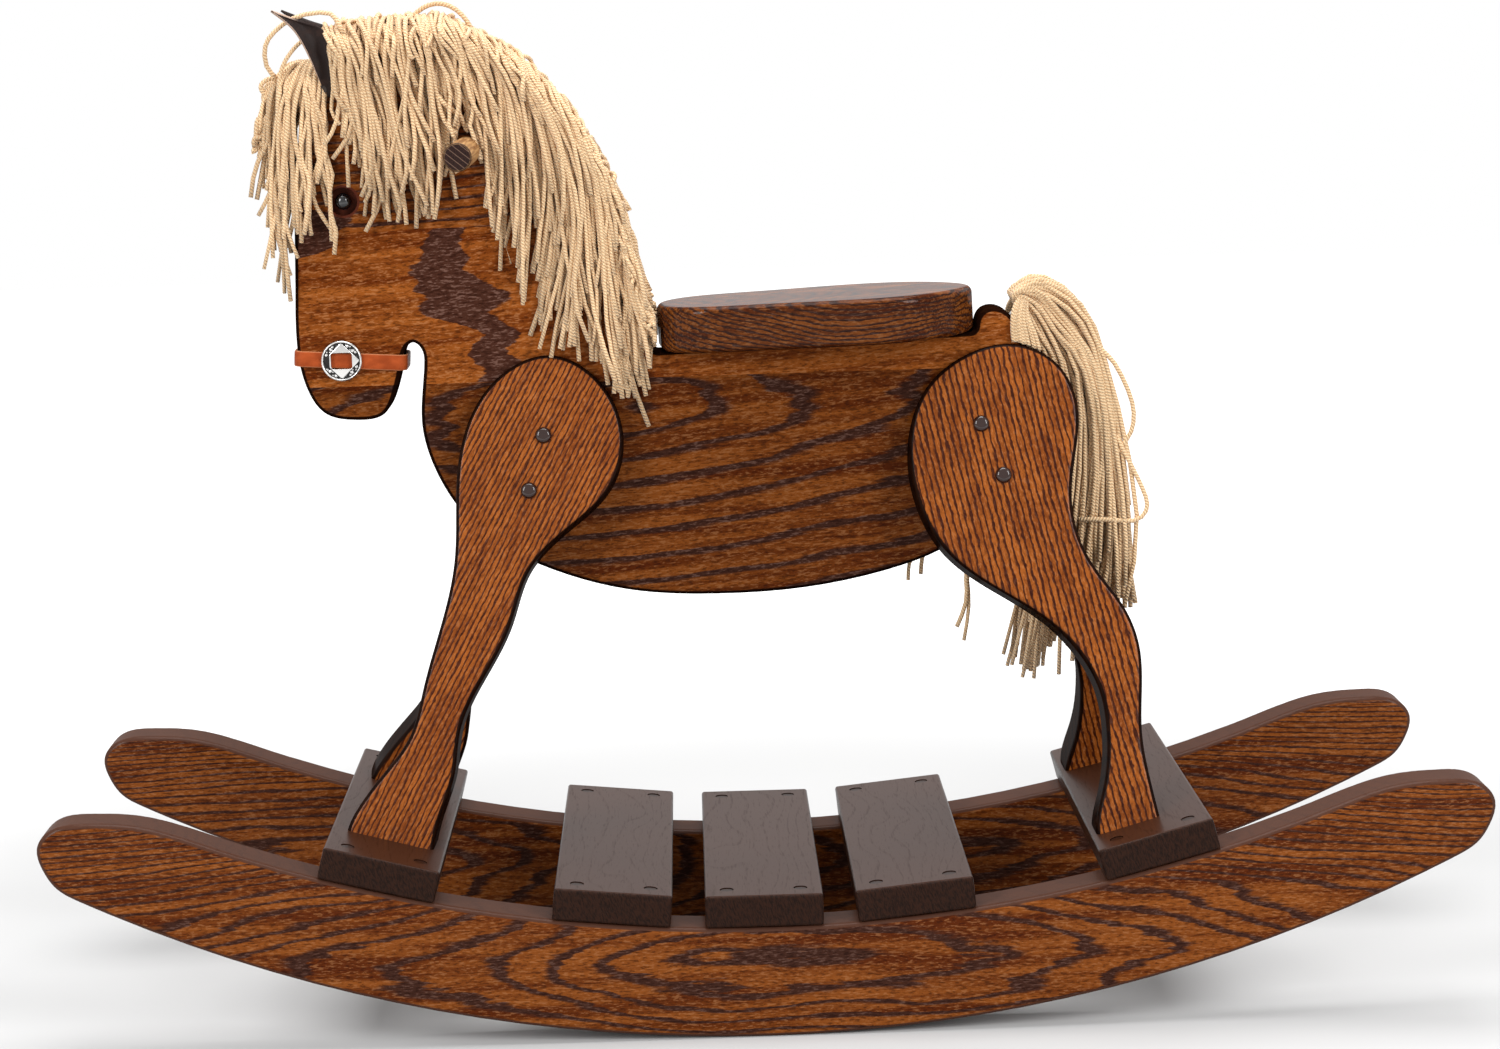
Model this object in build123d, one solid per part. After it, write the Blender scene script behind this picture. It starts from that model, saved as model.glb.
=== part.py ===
from build123d import *
import math
import os

# Rocking horse of stained oak planks, in millimetres.
# X runs from the head to the tail, Y from the horse's left to its right, Z up.
# The origin is on the floor, midway between the rockers' ends.

# Driving dimensions: planks
PLANK = 34.0              # thickness of body, legs and rockers
BOARD_THICK = 22.0        # foot slats and leg boards
BOARD_WIDE = 80.0
OVERALL_WIDE = 292.0      # length of the cross boards
EDGE_ROUND = 4.0          # rounded-over plank edges
BOARD_ROUND = 2.0

# Driving dimensions: rockers
ROCKER_LONG = 980.0
FLOOR_RADIUS = 1036.0     # curve that rolls on the floor
TOP_RADIUS = 1061.0       # curve that carries the boards
ROCKER_DEEP = 76.5        # depth at the middle
NOSE_HIGH = 148.0         # height of a rocker's tip
LOBE_HIGH = 163.5         # height of the lobe behind a tip

# Driving dimensions: boards along the rockers' top curve, in degrees from its lowest point
LEG_BOARD_ANGLE = 14.5
SLAT_PITCH = 5.6
SLAT_SHIFT = -0.25

# Driving dimensions: seat
SEAT_LONG = 220.0
SEAT_WIDE = 124.0
SEAT_FRONT_WIDE = 88.0
SEAT_THICK = 32.0
SEAT_TILT = 1.8           # rising towards the tail, in degrees
SEAT_X = 46.0             # middle of the seat
SEAT_Z = 458.0            # its underside there
SEAT_FRONT_X = -66.0      # neck end of the ledge under the seat
SEAT_REAR_X = 157.0       # rump end of that ledge
RECESS_ROUND = 4.5
SEAT_ROUND = 5.0

# Driving dimensions: fittings
HANDLE_DIA = 19.0
HANDLE_LONG = 230.0
HANDLE_X, HANDLE_Z = -191.5, 597.5
EYE_DIA = 11.5
EYE_RECESS_DIA = 19.5
EYE_RECESS_DEEP = 6.0
EYE_X, EYE_Z = -278.0, 565.0
PLUG_DIA = 9.5
BUTTON_DIA = 11.5
SCREW_DIA = 4.0
SCREW_HEAD_DIA = 8.0
SCREW_HEAD_HIGH = 4.0
COUNTERBORE_DEEP = 9.0
STRAP_WIDE = 11.0
STRAP_THICK = 2.2
CONCHO_DIA = 28.0
CONCHO_THICK = 2.6
MANE_THICK = 14.0         # yarn lying on each side of the neck
TAPE_THICK = 1.5
YARN_ROUND = 1.8          # rounded rims of the yarn masses

# Driving dimensions: legs, where the outer face of each leg slants outwards from its top
LEG_TOP_Y = 22.0          # outer face at the top of a leg
FRONT_LEG_TOP, FRONT_SPLAY = 456.0, 12.5
REAR_LEG_TOP, REAR_SPLAY = 454.0, 14.8
FRONT_LEG_SCREWS = ((-146, 401), (-157, 364))
REAR_LEG_SCREWS = ((157, 400), (171, 365))

# Driving dimensions: tail, hung on the crown of its staple
TAIL_X, TAIL_Z = 193.0, 482.0
TAIL_WIDE = 28.0
KNUCKLE_RADIUS = 12.0
STAPLE_DIA = 3.0
STAPLE_HALF = 12.0

HALF = PLANK / 2
ARC_CENTRE_Z = ROCKER_DEEP + TOP_RADIUS
CHORD_RADIUS = math.sqrt(TOP_RADIUS**2 - (BOARD_WIDE / 2) ** 2)
ROCKER_Y = OVERALL_WIDE / 2 - PLANK / 2


def upright(points):
    """Turns side-view points (x, z) into points on the middle plane."""
    return [(x, 0, z) for x, z in points]


def curve(points):
    """A smooth side-view curve."""
    return Spline(*upright(points))


def line(a, b):
    """A straight edge in the side view."""
    return Line(*upright([a, b]))


def plank(face, thick=PLANK, edge=EDGE_ROUND):
    """A side-view face cut from stock centred on Y = 0, with rounded-over edges."""
    slab = extrude(Pos(0, -thick / 2, 0) * face, thick, dir=(0, 1, 0))
    rims = slab.edges().filter_by(lambda e: abs(abs(e.center().Y) - thick / 2) < 1e-3)
    return fillet(rims, edge)


def cylinder_between(start, end, diameter):
    """A round bar from one point to another."""
    axis = Vector(*end) - Vector(*start)
    base = Plane(origin=start, z_dir=axis)
    return extrude(base * Circle(diameter / 2), axis.length, dir=axis.normalized())


def screw(head_top, direction, length):
    """A wood screw from the top of its head, with a plain shank and a pointed end."""
    way = Vector(*direction).normalized()
    top = Vector(*head_top)
    neck = top + way * SCREW_HEAD_HIGH
    tip = top + way * (length - SCREW_DIA)
    head = cylinder_between(tuple(top), tuple(neck), SCREW_HEAD_DIA)
    shank = cylinder_between(tuple(neck), tuple(tip), SCREW_DIA)
    point = Plane(origin=tip, z_dir=way) * Cone(
        SCREW_DIA / 2, 0.4, SCREW_DIA, align=(Align.CENTER, Align.CENTER, Align.MIN)
    )
    return head + shank + point


def group(pieces):
    """Separate solids kept together as one node."""
    return Compound([solid for piece in pieces for solid in piece.solids()])


def mirrored(piece):
    """The same piece on the horse's other side."""
    return mirror(piece, about=Plane.XZ)


# Rockers


def floor_height(x):
    return FLOOR_RADIUS - math.sqrt(FLOOR_RADIUS**2 - x**2)


def top_height(x):
    return ARC_CENTRE_Z - math.sqrt(TOP_RADIUS**2 - x**2)


def rocker_nose(side):
    """Lobed end from the floor curve round the tip to the top curve."""
    end = ROCKER_LONG / 2
    floor_points = [(x, floor_height(x)) for x in (end - 46, end - 36, end - 26)]
    lobe_points = [
        (end - 11.5, 119), (end - 3, 132), (end, NOSE_HIGH), (end - 9, NOSE_HIGH + 11.5),
        (end - 32, LOBE_HIGH), (end - 65, LOBE_HIGH - 2.5),
    ]
    top_points = [(x, top_height(x)) for x in (end - 104, end - 120, end - 136)]
    return curve([(x * side, z) for x, z in floor_points + lobe_points + top_points])


def rocker_blank():
    right, left = rocker_nose(1), rocker_nose(-1)
    floor = ThreePointArc(left @ 0, (0, 0, 0), right @ 0)
    top = ThreePointArc(right @ 1, (0, 0, ROCKER_DEEP), left @ 1)
    return plank(make_face([floor, right, top, left]))


# Cross boards


def board_place(angle):
    """Frame on a board's underside, tangent to the rockers' top curve."""
    turn = math.radians(angle)
    x = CHORD_RADIUS * math.sin(turn)
    z = ARC_CENTRE_Z - CHORD_RADIUS * math.cos(turn)
    return Pos(x, 0, z) * Rot(0, -angle, 0)


def board_holes():
    """Screw positions on a board, two above each rocker."""
    return [(x, y) for y in (-ROCKER_Y, ROCKER_Y) for x in (-25, 25)]


def cross_board(angle):
    base = (Align.CENTER, Align.CENTER, Align.MIN)
    board = Box(BOARD_WIDE, OVERALL_WIDE, BOARD_THICK, align=base)
    board = fillet(board.edges(), BOARD_ROUND)
    for x, y in board_holes():
        board -= Pos(x, y, BOARD_THICK) * Cylinder(PLUG_DIA / 2, 2 * COUNTERBORE_DEEP)
        board -= Pos(x, y, 0) * Cylinder(SCREW_DIA / 2, 2 * BOARD_THICK)
    return board_place(angle) * board


def board_fixings(angle):
    """Screws and plugs of one board."""
    place = board_place(angle)
    screws, plugs = [], []
    for x, y in board_holes():
        head_top = BOARD_THICK - COUNTERBORE_DEEP + SCREW_HEAD_HIGH
        screws.append(place * screw((x, y, head_top), (0, 0, -1), 46))
        base = (Align.CENTER, Align.CENTER, Align.MIN)
        plug = Cylinder(PLUG_DIA / 2, COUNTERBORE_DEEP - SCREW_HEAD_HIGH - 0.5, align=base)
        plug = chamfer(plug.edges().group_by(Axis.Z)[-1], 0.6)
        plugs.append(place * (Pos(x, y, head_top) * plug))
    return screws, plugs


# Body


def recess_height(x):
    """Height of the ledge that the seat rests on."""
    return SEAT_Z + (x - SEAT_X) * math.tan(math.radians(SEAT_TILT))


CREST_CURVE = (
    (-80, 470), (-89, 498), (-100, 540), (-120, 590), (-150, 636), (-183, 669), (-220, 684), (-258, 679),
    (-289, 655), (-306, 612), (-312, 560),
)
UNDER_CURVE = (
    (-314, 510), (-315, 466), (-309.5, 436), (-298, 418.5), (-276, 413), (-257, 416.5), (-248.5, 431),
    (-242.5, 454), (-240, 462), (-234.7, 466), (-229.4, 462), (-227.6, 451), (-231, 410), (-222, 374),
    (-196, 335), (-144, 303), (-88, 286.5), (-30, 282), (32, 284.5), (90, 295), (131, 309.5), (165, 335),
    (187, 378), (192, 420), (187.5, 458), (180, 473), (170, 478), (161, 475.5), (157, 468),
)


def crest():
    """Neck, poll and forehead line, from above the seat round to the face."""
    return curve(CREST_CURVE)


def body_face():
    """Side view of the body plank, with a ledge for the seat."""
    ledge = [(x, recess_height(x)) for x in (SEAT_REAR_X, SEAT_FRONT_X)]
    outline = curve([ledge[1], *CREST_CURVE, *UNDER_CURVE, ledge[0]])
    face = make_face([outline, line(*ledge)])
    return fillet(face.vertices(), RECESS_ROUND)


def seat_place():
    return Pos(SEAT_X, 0, SEAT_Z) * Rot(0, -SEAT_TILT, 0)


def seat_dowel_list():
    place = seat_place()
    return [place * (Pos(x, 0, -4) * Cylinder(5, 40)) for x in (-45, 55)]


def handle():
    bar = cylinder_between(
        (HANDLE_X, -HANDLE_LONG / 2, HANDLE_Z), (HANDLE_X, HANDLE_LONG / 2, HANDLE_Z), HANDLE_DIA
    )
    return fillet(bar.edges().filter_by(GeomType.CIRCLE), 1.5)


def eye():
    """A bead on a short shank, seated on the floor of its recess."""
    floor_y = -HALF + EYE_RECESS_DEEP
    bead = Pos(EYE_X, floor_y - EYE_DIA / 2 + 1.2, EYE_Z) * Sphere(EYE_DIA / 2)
    bead -= Pos(EYE_X, floor_y + 10, EYE_Z) * Box(30, 20, 30)
    shank = cylinder_between((EYE_X, floor_y - 2, EYE_Z), (EYE_X, floor_y + 8, EYE_Z), 3)
    return bead + shank


# Legs


def leg_plane(top, splay):
    """Outer face of a left leg: x along the horse, y up the slanted face."""
    turn = math.radians(splay)
    return Plane(origin=(0, -LEG_TOP_Y, top), x_dir=(1, 0, 0), z_dir=(0, -math.cos(turn), math.sin(turn)))


def on_leg(points, top, splay):
    """Side-view points (x, z) as points on a leg's outer face."""
    return [(x, (z - top) / math.cos(math.radians(splay))) for x, z in points]


FRONT_LEG_CURVE = (
    (-230, 110), (-223, 149), (-214, 174), (-209, 204), (-188, 245), (-172, 275), (-160, 307), (-127, 340),
    (-101, 364), (-91, 395), (-104, 434), (-140, 455.5), (-178, 440), (-199, 409), (-207, 372), (-210, 318),
    (-219, 280), (-234, 232), (-245, 199), (-259, 181), (-281, 154), (-288.5, 139), (-287, 122),
)
REAR_LEG_CURVE = (
    (273, 118), (264, 158), (259.5, 190), (260, 250), (250, 276), (231, 303), (219, 335), (219, 362),
    (225, 408), (213, 438), (183, 453.5), (148, 447), (119, 424), (107, 389), (112, 347), (128, 317),
    (148, 299), (198, 266), (217, 246), (231, 220), (235, 190), (231, 155), (225.5, 134), (229, 110),
)


def leg_blank(outline, top, splay):
    """A left leg: slanted plank, bevelled flat on the body and cut to stand on its board."""
    plane = leg_plane(top, splay)
    points = on_leg(outline, top, splay)
    face = make_face([Spline(*points), Line(points[-1], points[0])])
    slab = extrude(plane * face, PLANK, dir=-plane.z_dir)
    rims = [
        e for e in slab.edges()
        if abs(plane.to_local_coords(e.center()).Z) < 1e-3
        or abs(plane.to_local_coords(e.center()).Z + PLANK) < 1e-3
    ]
    slab = fillet(rims, EDGE_ROUND)
    slab -= Pos(0, 500 - HALF, 300) * Box(900, 1000, 900)
    side = 1 if outline[0][0] > 0 else -1
    below = Pos(0, 0, BOARD_THICK - 200) * Box(400, 600, 400)
    return slab - board_place(side * LEG_BOARD_ANGLE) * below


def leg_bores(spots, top, splay):
    """Counterbores and screw holes of a left leg, square to its outer face."""
    plane = leg_plane(top, splay)
    bores = []
    for x, y in on_leg(spots, top, splay):
        bores.append(plane * (Pos(x, y, 0) * Cylinder(PLUG_DIA / 2, 2 * COUNTERBORE_DEEP)))
        bores.append(plane * (Pos(x, y, 0) * Cylinder(SCREW_DIA / 2, 4 * PLANK)))
    return bores


def leg_fixings(spots, top, splay):
    """Screws and button plugs of a left leg."""
    plane = leg_plane(top, splay)
    screws, buttons = [], []
    for x, y in on_leg(spots, top, splay):
        outside = plane.from_local_coords(Vector(x, y, 0))
        depth = (-HALF - outside.Y) / math.cos(math.radians(splay))
        deep = SCREW_HEAD_HIGH - COUNTERBORE_DEEP
        screws.append(plane * screw((x, y, deep), (0, 0, -1), depth + deep + 14))
        base = (Align.CENTER, Align.CENTER, Align.MIN)
        tenon = Pos(x, y, deep) * Cylinder(PLUG_DIA / 2, -deep, align=base)
        cap = Pos(x, y, 0) * Cylinder(BUTTON_DIA / 2, 3.6, align=base)
        cap = fillet(cap.edges().group_by(Axis.Z)[-1], 3.4)
        buttons.append(plane * (tenon + cap))
    return screws, buttons


LEGS = {
    "front": (FRONT_LEG_CURVE, FRONT_LEG_SCREWS, FRONT_LEG_TOP, FRONT_SPLAY),
    "rear": (REAR_LEG_CURVE, REAR_LEG_SCREWS, REAR_LEG_TOP, REAR_SPLAY),
}


def foot_screw_list(name):
    """Two screws from under a leg board into a left foot, set outwards because they lean inwards."""
    outline, spots, top, splay = LEGS[name]
    side = 1 if name == "rear" else -1
    place = board_place(side * LEG_BOARD_ANGLE)
    foot_x = (outline[0][0] + outline[-1][0]) / 2
    foot_z = place.position.Z + BOARD_THICK + (foot_x - place.position.X) * math.tan(
        math.radians(side * LEG_BOARD_ANGLE)
    )
    foot_y = -LEG_TOP_Y - (top - foot_z) * math.tan(math.radians(splay)) + HALF
    local_x = (foot_x - place.position.X) / math.cos(math.radians(LEG_BOARD_ANGLE))
    return [place * screw((local_x + dx, foot_y, 0), (0, 0, 1), 52) for dx in (0, 18 * side)]


# Seat


def seat_board():
    """A blunt, narrow front that swells to a round back."""
    half, front, end = SEAT_WIDE / 2, SEAT_FRONT_WIDE / 2, SEAT_LONG / 2
    front_corner = [(-end + 4, front - 20), (-end + 20, front - 2)]
    right = front_corner + [(-35, half - 8), (28, half), (72, half - 9), (98, 30)]
    left = [(x, -y) for x, y in reversed(right)]
    face = make_face([Spline((-end, 0), *right, (end, 0), *left, periodic=True)])
    board = extrude(face, SEAT_THICK)
    rims = board.edges().filter_by(lambda e: abs(e.center().Z - SEAT_THICK / 2) > SEAT_THICK / 2 - 1e-3)
    return seat_place() * fillet(rims, SEAT_ROUND)


# Ears

EAR_BASE = (-285.0, -HALF - 1.2, 637.0)
EAR_TIP = (-318.0, -32.0, 694.0)
EAR_HALF_WIDE = 12.5
EAR_CURL_RADIUS = 13.0
EAR_THICK = 2.2


def ear():
    """A leather leaf curled into a trough that opens outwards."""
    along = (Vector(*EAR_TIP) - Vector(*EAR_BASE)).normalized()
    long = (Vector(*EAR_TIP) - Vector(*EAR_BASE)).length
    outwards = Vector(-0.2, -1, 0.1)
    outwards = (outwards - along * outwards.dot(along)).normalized()
    plane = Plane(origin=EAR_BASE, x_dir=along, z_dir=outwards)
    edge = Spline((0, 4), (0.3 * long, EAR_HALF_WIDE - 1.5), (0.55 * long, EAR_HALF_WIDE - 1), (long, 0.8))
    other = mirror(edge, about=Plane.XZ)
    leaf = make_face([edge, other, Line(edge @ 0, other @ 0), Line(edge @ 1, other @ 1)])
    prism = extrude(leaf, 2 * EAR_CURL_RADIUS)
    outside = Cylinder(EAR_CURL_RADIUS, 3 * long)
    inside = Cylinder(EAR_CURL_RADIUS - EAR_THICK, 3 * long)
    trough = Rot(0, 90, 0) * (outside - inside)
    trough -= Pos(0, 0, EAR_CURL_RADIUS) * Box(3 * long, 60, 2 * EAR_CURL_RADIUS)
    return plane * (prism & Pos(0, 0, EAR_CURL_RADIUS) * trough)


def tack(point, direction, long=13.0):
    """A small flat-headed tack from the underside of its head."""
    start, way = Vector(*point), Vector(*direction).normalized()
    shank = cylinder_between(tuple(start), tuple(start + way * long), 2)
    head = cylinder_between(tuple(start - way), tuple(start), 6)
    return shank + head


def ear_tack():
    x, y, z = EAR_BASE
    return tack((x - 3, -HALF - EAR_THICK - 1.4, z + 4.5), (0, 1, 0))


# Mane

MANE_CURVE = (
    (-281, 684), (-262, 691), (-234, 693.5), (-206, 691), (-180, 680), (-153, 654), (-126, 624), (-102, 584),
    (-87, 545), (-76, 497), (-66, 462), (-68, 434), (-79, 415), (-90, 432), (-106, 450), (-126, 461),
    (-144, 472), (-158, 503), (-172, 528), (-178, 560), (-180, 596), (-191, 612), (-202, 596), (-206, 558),
    (-222, 549), (-236, 557), (-250, 553), (-259, 576), (-268, 605), (-275, 622), (-276, 650),
)
FORELOCK_CURVE = (
    (-296, 652), (-313, 653), (-331, 640), (-342, 610), (-346, 570), (-345, 530), (-337, 508), (-325, 514),
    (-313, 522), (-301, 503), (-291, 512), (-290, 545), (-291, 600), (-293, 636),
)
FORELOCK_WIDE = 60.0


def closed_curve(points):
    return make_face([Spline(*upright(points), periodic=True)])


def crest_part():
    """The stretch of the neck line that carries the mane, from the ears to the seat."""
    ends = crest().trim(0.07, 0.86)
    return Edge.make_spline([ends @ (1 - step / 12) for step in range(13)])


def mane_tape():
    """A flat strip along the top of the neck, under the yarn."""
    path = crest_part()
    start, way = path @ 0, path % 0
    out = Vector(-way.Z, 0, way.X)
    section = Plane(origin=start + out * (TAPE_THICK / 2), x_dir=(0, 1, 0), z_dir=way)
    return sweep(section * Rectangle(24, TAPE_THICK), path=path)


def crest_room():
    """The space that the tape and the tack heads take along the top of the neck."""
    path = crest_part()
    outer, inner = [], []
    for step in range(13):
        way = path % (step / 12)
        out = Vector(-way.Z, 0, way.X)
        outer.append(path @ (step / 12) + out * (TAPE_THICK + 1.6))
        inner.append(path @ (step / 12) - out * 6)
    sides = [Line(outer[0], inner[0]), Line(outer[-1], inner[-1])]
    return extrude(make_face([Spline(*outer), Spline(*inner)] + sides), 12.6, dir=(0, 1, 0), both=True)


def mane_tack_list():
    """Tacks through the tape into the top of the neck."""
    path = crest_part()
    tacks = []
    for step in range(8):
        spot = 0.06 + step * 0.125
        way = path % spot
        out = Vector(-way.Z, 0, way.X)
        tacks.append(tack(tuple(path @ spot + out * TAPE_THICK), tuple(-out)))
    return tacks


def left_mane(cutters):
    """Yarn from the crest down the left of the neck, parted round the handle."""
    slab = extrude(closed_curve(MANE_CURVE), HALF + MANE_THICK - 0.3, dir=(0, -1, 0))
    slab = Pos(0, -0.3, 0) * slab
    rim = slab.edges().filter_by(lambda e: e.center().Y < -HALF)
    slab = fillet(rim, YARN_ROUND)
    for cutter in cutters:
        slab -= cutter
    return slab


def forelock(cutters):
    """Yarn over the forehead, hanging round both sides of the face."""
    lock = plank(closed_curve(FORELOCK_CURVE), FORELOCK_WIDE, YARN_ROUND)
    for cutter in cutters:
        lock -= cutter
    return lock


# Tail

TAIL_CURVE = (
    (206, 493), (219, 487), (232, 471), (246, 437), (256, 395), (263, 350), (267, 310), (267, 270),
    (258, 250), (245, 244), (232, 224), (214, 208), (196, 213), (180, 209), (177, 250), (183, 300),
    (194, 350), (200, 400), (203, 440), (204, 463), (200, 480),
)


def tail_staple():
    """A wire staple whose crown stands clear of the rump."""
    way = Vector(-0.62, 0, -0.785).normalized()
    corners = [Vector(TAIL_X, side * STAPLE_HALF, TAIL_Z) for side in (-1, 1)]
    wire = cylinder_between(tuple(corners[0]), tuple(corners[1]), STAPLE_DIA)
    for corner in corners:
        wire += cylinder_between(tuple(corner), tuple(corner + way * 36), STAPLE_DIA)
        wire += Pos(*corner) * Sphere(STAPLE_DIA / 2)
    return wire


def tail_hank():
    """A hank of yarn with an eye at its top that turns on the staple."""
    hank = plank(closed_curve(TAIL_CURVE), TAIL_WIDE, YARN_ROUND)
    eye_axis = [(TAIL_X, y, TAIL_Z) for y in (-STAPLE_HALF + 2, STAPLE_HALF - 2)]
    hank += cylinder_between(*eye_axis, 2 * KNUCKLE_RADIUS)
    return hank - cylinder_between((TAIL_X, -40, TAIL_Z), (TAIL_X, 40, TAIL_Z), STAPLE_DIA + 1.2)


# Noseband

STRAP_LEFT, STRAP_RIGHT = (-317.5, 457.7), (-238.0, 452.3)
CONCHO_X, CONCHO_Z = -284.0, 455.4
CONCHO_WINDOW = 9.5


def noseband():
    """A strap that follows the muzzle all round."""
    long = math.dist(STRAP_LEFT, STRAP_RIGHT)
    drop = math.degrees(math.atan2(STRAP_LEFT[1] - STRAP_RIGHT[1], STRAP_RIGHT[0] - STRAP_LEFT[0]))
    band = Box(long, PLANK + 2 * STRAP_THICK, STRAP_WIDE)
    band = fillet(band.edges().filter_by(Axis.Z), EDGE_ROUND + STRAP_THICK)
    middle = [(a + b) / 2 for a, b in zip(STRAP_LEFT, STRAP_RIGHT)]
    return Pos(middle[0], 0, middle[1]) * Rot(0, drop, 0) * band - plank(body_face())


def concho():
    """A domed disc with a window that shows the strap behind it."""
    disc = Cylinder(CONCHO_DIA / 2, CONCHO_THICK, align=(Align.CENTER, Align.CENTER, Align.MIN))
    disc = fillet(disc.edges().group_by(Axis.Z)[-1], 1.2)
    window = fillet(Box(CONCHO_WINDOW, STRAP_WIDE, 20).edges().filter_by(Axis.Z), 1.5)
    face = Plane(origin=(CONCHO_X, -HALF - STRAP_THICK, CONCHO_Z), x_dir=(1, 0, 0), z_dir=(0, -1, 0))
    return face * (disc - window)


def noseband_brad():
    spot = CONCHO_X - CONCHO_WINDOW
    return cylinder_between((spot, -HALF - STRAP_THICK, CONCHO_Z), (spot, -HALF + 12, CONCHO_Z), 1.6)


# Assembly


def add_boards(parts):
    """Cross boards with their screws and plugs. Returns the screws."""
    angles = {
        "front_leg_board": -LEG_BOARD_ANGLE,
        "foot_slat_front": SLAT_SHIFT - SLAT_PITCH,
        "foot_slat_middle": SLAT_SHIFT,
        "foot_slat_rear": SLAT_SHIFT + SLAT_PITCH,
        "rear_leg_board": LEG_BOARD_ANGLE,
    }
    screws, plugs = [], []
    for name, angle in angles.items():
        parts[name] = cross_board(angle)
        some_screws, some_plugs = board_fixings(angle)
        screws += some_screws
        plugs += some_plugs
    parts["board_screws"] = group(screws)
    parts["board_plugs"] = group(plugs)
    return screws


def add_rockers(parts, screws):
    """Both rockers, bored for the screws of the cross boards."""
    blank = rocker_blank()
    for name, side in (("rocker_left", -1), ("rocker_right", 1)):
        rocker = Pos(0, side * ROCKER_Y, 0) * blank
        for piece in screws:
            if piece.center().Y * side > 0:
                rocker -= piece
        parts[name] = rocker


def add_legs(parts):
    """Legs, their fixings and the screws in their feet. Returns the screws into the body."""
    leg_screws, leg_plugs, foot_screws = [], [], []
    for name, (outline, spots, top, splay) in LEGS.items():
        left = leg_blank(outline, top, splay)
        feet = foot_screw_list(name)
        for piece in leg_bores(spots, top, splay) + feet:
            left -= piece
        parts[f"{name}_leg_left"] = left
        parts[f"{name}_leg_right"] = mirrored(left)
        some_screws, some_plugs = leg_fixings(spots, top, splay)
        leg_screws += some_screws + [mirrored(s) for s in some_screws]
        leg_plugs += some_plugs + [mirrored(s) for s in some_plugs]
        foot_screws += feet + [mirrored(s) for s in feet]
    parts["leg_screws"] = group(leg_screws)
    parts["leg_plugs"] = group(leg_plugs)
    parts["foot_screws"] = group(foot_screws)
    for name in ("front_leg_board", "rear_leg_board"):
        for piece in foot_screws:
            parts[name] -= piece
    return leg_screws


def add_seat(parts):
    """The seat on its two dowels. Returns the dowels."""
    dowels = seat_dowel_list()
    board = seat_board()
    for piece in dowels:
        board -= piece
    parts["seat_dowels"] = group(dowels)
    parts["seat"] = board
    return dowels


def add_ears(parts, plain_body):
    """Ears and their tacks. Returns the tacks."""
    tacks = [ear_tack(), mirrored(ear_tack())]
    left = ear() - plain_body - tacks[0]
    parts["ear_left"] = left
    parts["ear_right"] = mirrored(left)
    parts["ear_tacks"] = group(tacks)
    return tacks


def add_hair(parts, plain_body, ear_tacks):
    """Mane on its tape, and the forelock. Returns the mane's tacks."""
    tacks = mane_tack_list()
    tape = mane_tape() - plain_body
    for piece in tacks:
        tape -= piece
    parts["mane_tape"] = tape
    parts["mane_tacks"] = group(tacks)
    room = crest_room()
    handle_ends = [(HANDLE_X, side * 60, HANDLE_Z) for side in (-1, 1)]
    handle_room = cylinder_between(*handle_ends, HANDLE_DIA + 2)
    left = left_mane([plain_body, room, handle_room])
    parts["mane_left"] = left
    parts["mane_right"] = mirrored(left)
    ears = [parts["ear_left"], parts["ear_right"]]
    parts["forelock"] = forelock([plain_body, room] + ears + ear_tacks)
    return tacks


def add_noseband(parts):
    """The strap, its brads and the discs over them. Returns the brads."""
    brads = [noseband_brad(), mirrored(noseband_brad())]
    strap = noseband()
    for piece in brads:
        strap -= piece
    parts["noseband_brads"] = group(brads)
    parts["noseband"] = strap
    parts["concho_left"] = concho()
    parts["concho_right"] = mirrored(concho())
    return brads


def eye_recess(side):
    """The round recess in one cheek that the eye sits in."""
    floor = (EYE_X, side * (HALF - EYE_RECESS_DEEP), EYE_Z)
    return cylinder_between(floor, (EYE_X, side * (HALF + 5), EYE_Z), EYE_RECESS_DIA)


def build():
    """Every piece of the horse by name."""
    parts = {}
    plain_body = plank(body_face())
    screws = add_boards(parts)
    add_rockers(parts, screws)
    fixings = add_legs(parts)
    parts["handle_dowel"] = handle()
    parts["eye_left"] = eye()
    parts["eye_right"] = mirrored(eye())
    fixings += add_seat(parts)
    ear_tacks = add_ears(parts, plain_body)
    fixings += ear_tacks + add_hair(parts, plain_body, ear_tacks)
    parts["tail_staple"] = tail_staple()
    parts["tail"] = tail_hank()
    fixings += add_noseband(parts)
    fixings += [parts["handle_dowel"], parts["tail_staple"]]

    body = plain_body
    for piece in fixings + [eye_recess(-1), eye_recess(1), parts["eye_left"], parts["eye_right"]]:
        body -= piece
    parts["body_board"] = body
    return parts


os.makedirs("parts", exist_ok=True)
for node, shape in build().items():
    solids = shape.solids()
    whole = solids[0] if len(solids) == 1 else Compound(list(solids))
    whole.label = node
    export_step(whole, f"parts/{node}.step")
    box = whole.bounding_box()
    reach = [round(v, 1) for v in (*box.min, *box.max)]
    print(node, len(solids), reach, round(whole.volume / 1000, 1), "cm3")
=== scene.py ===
"""Looks of a stained oak rocking horse with a yarn mane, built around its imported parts."""

import math

import bpy
import numpy as np
from bpy.types import Operator, Panel, PropertyGroup
from mathutils import Matrix, Vector


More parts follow.
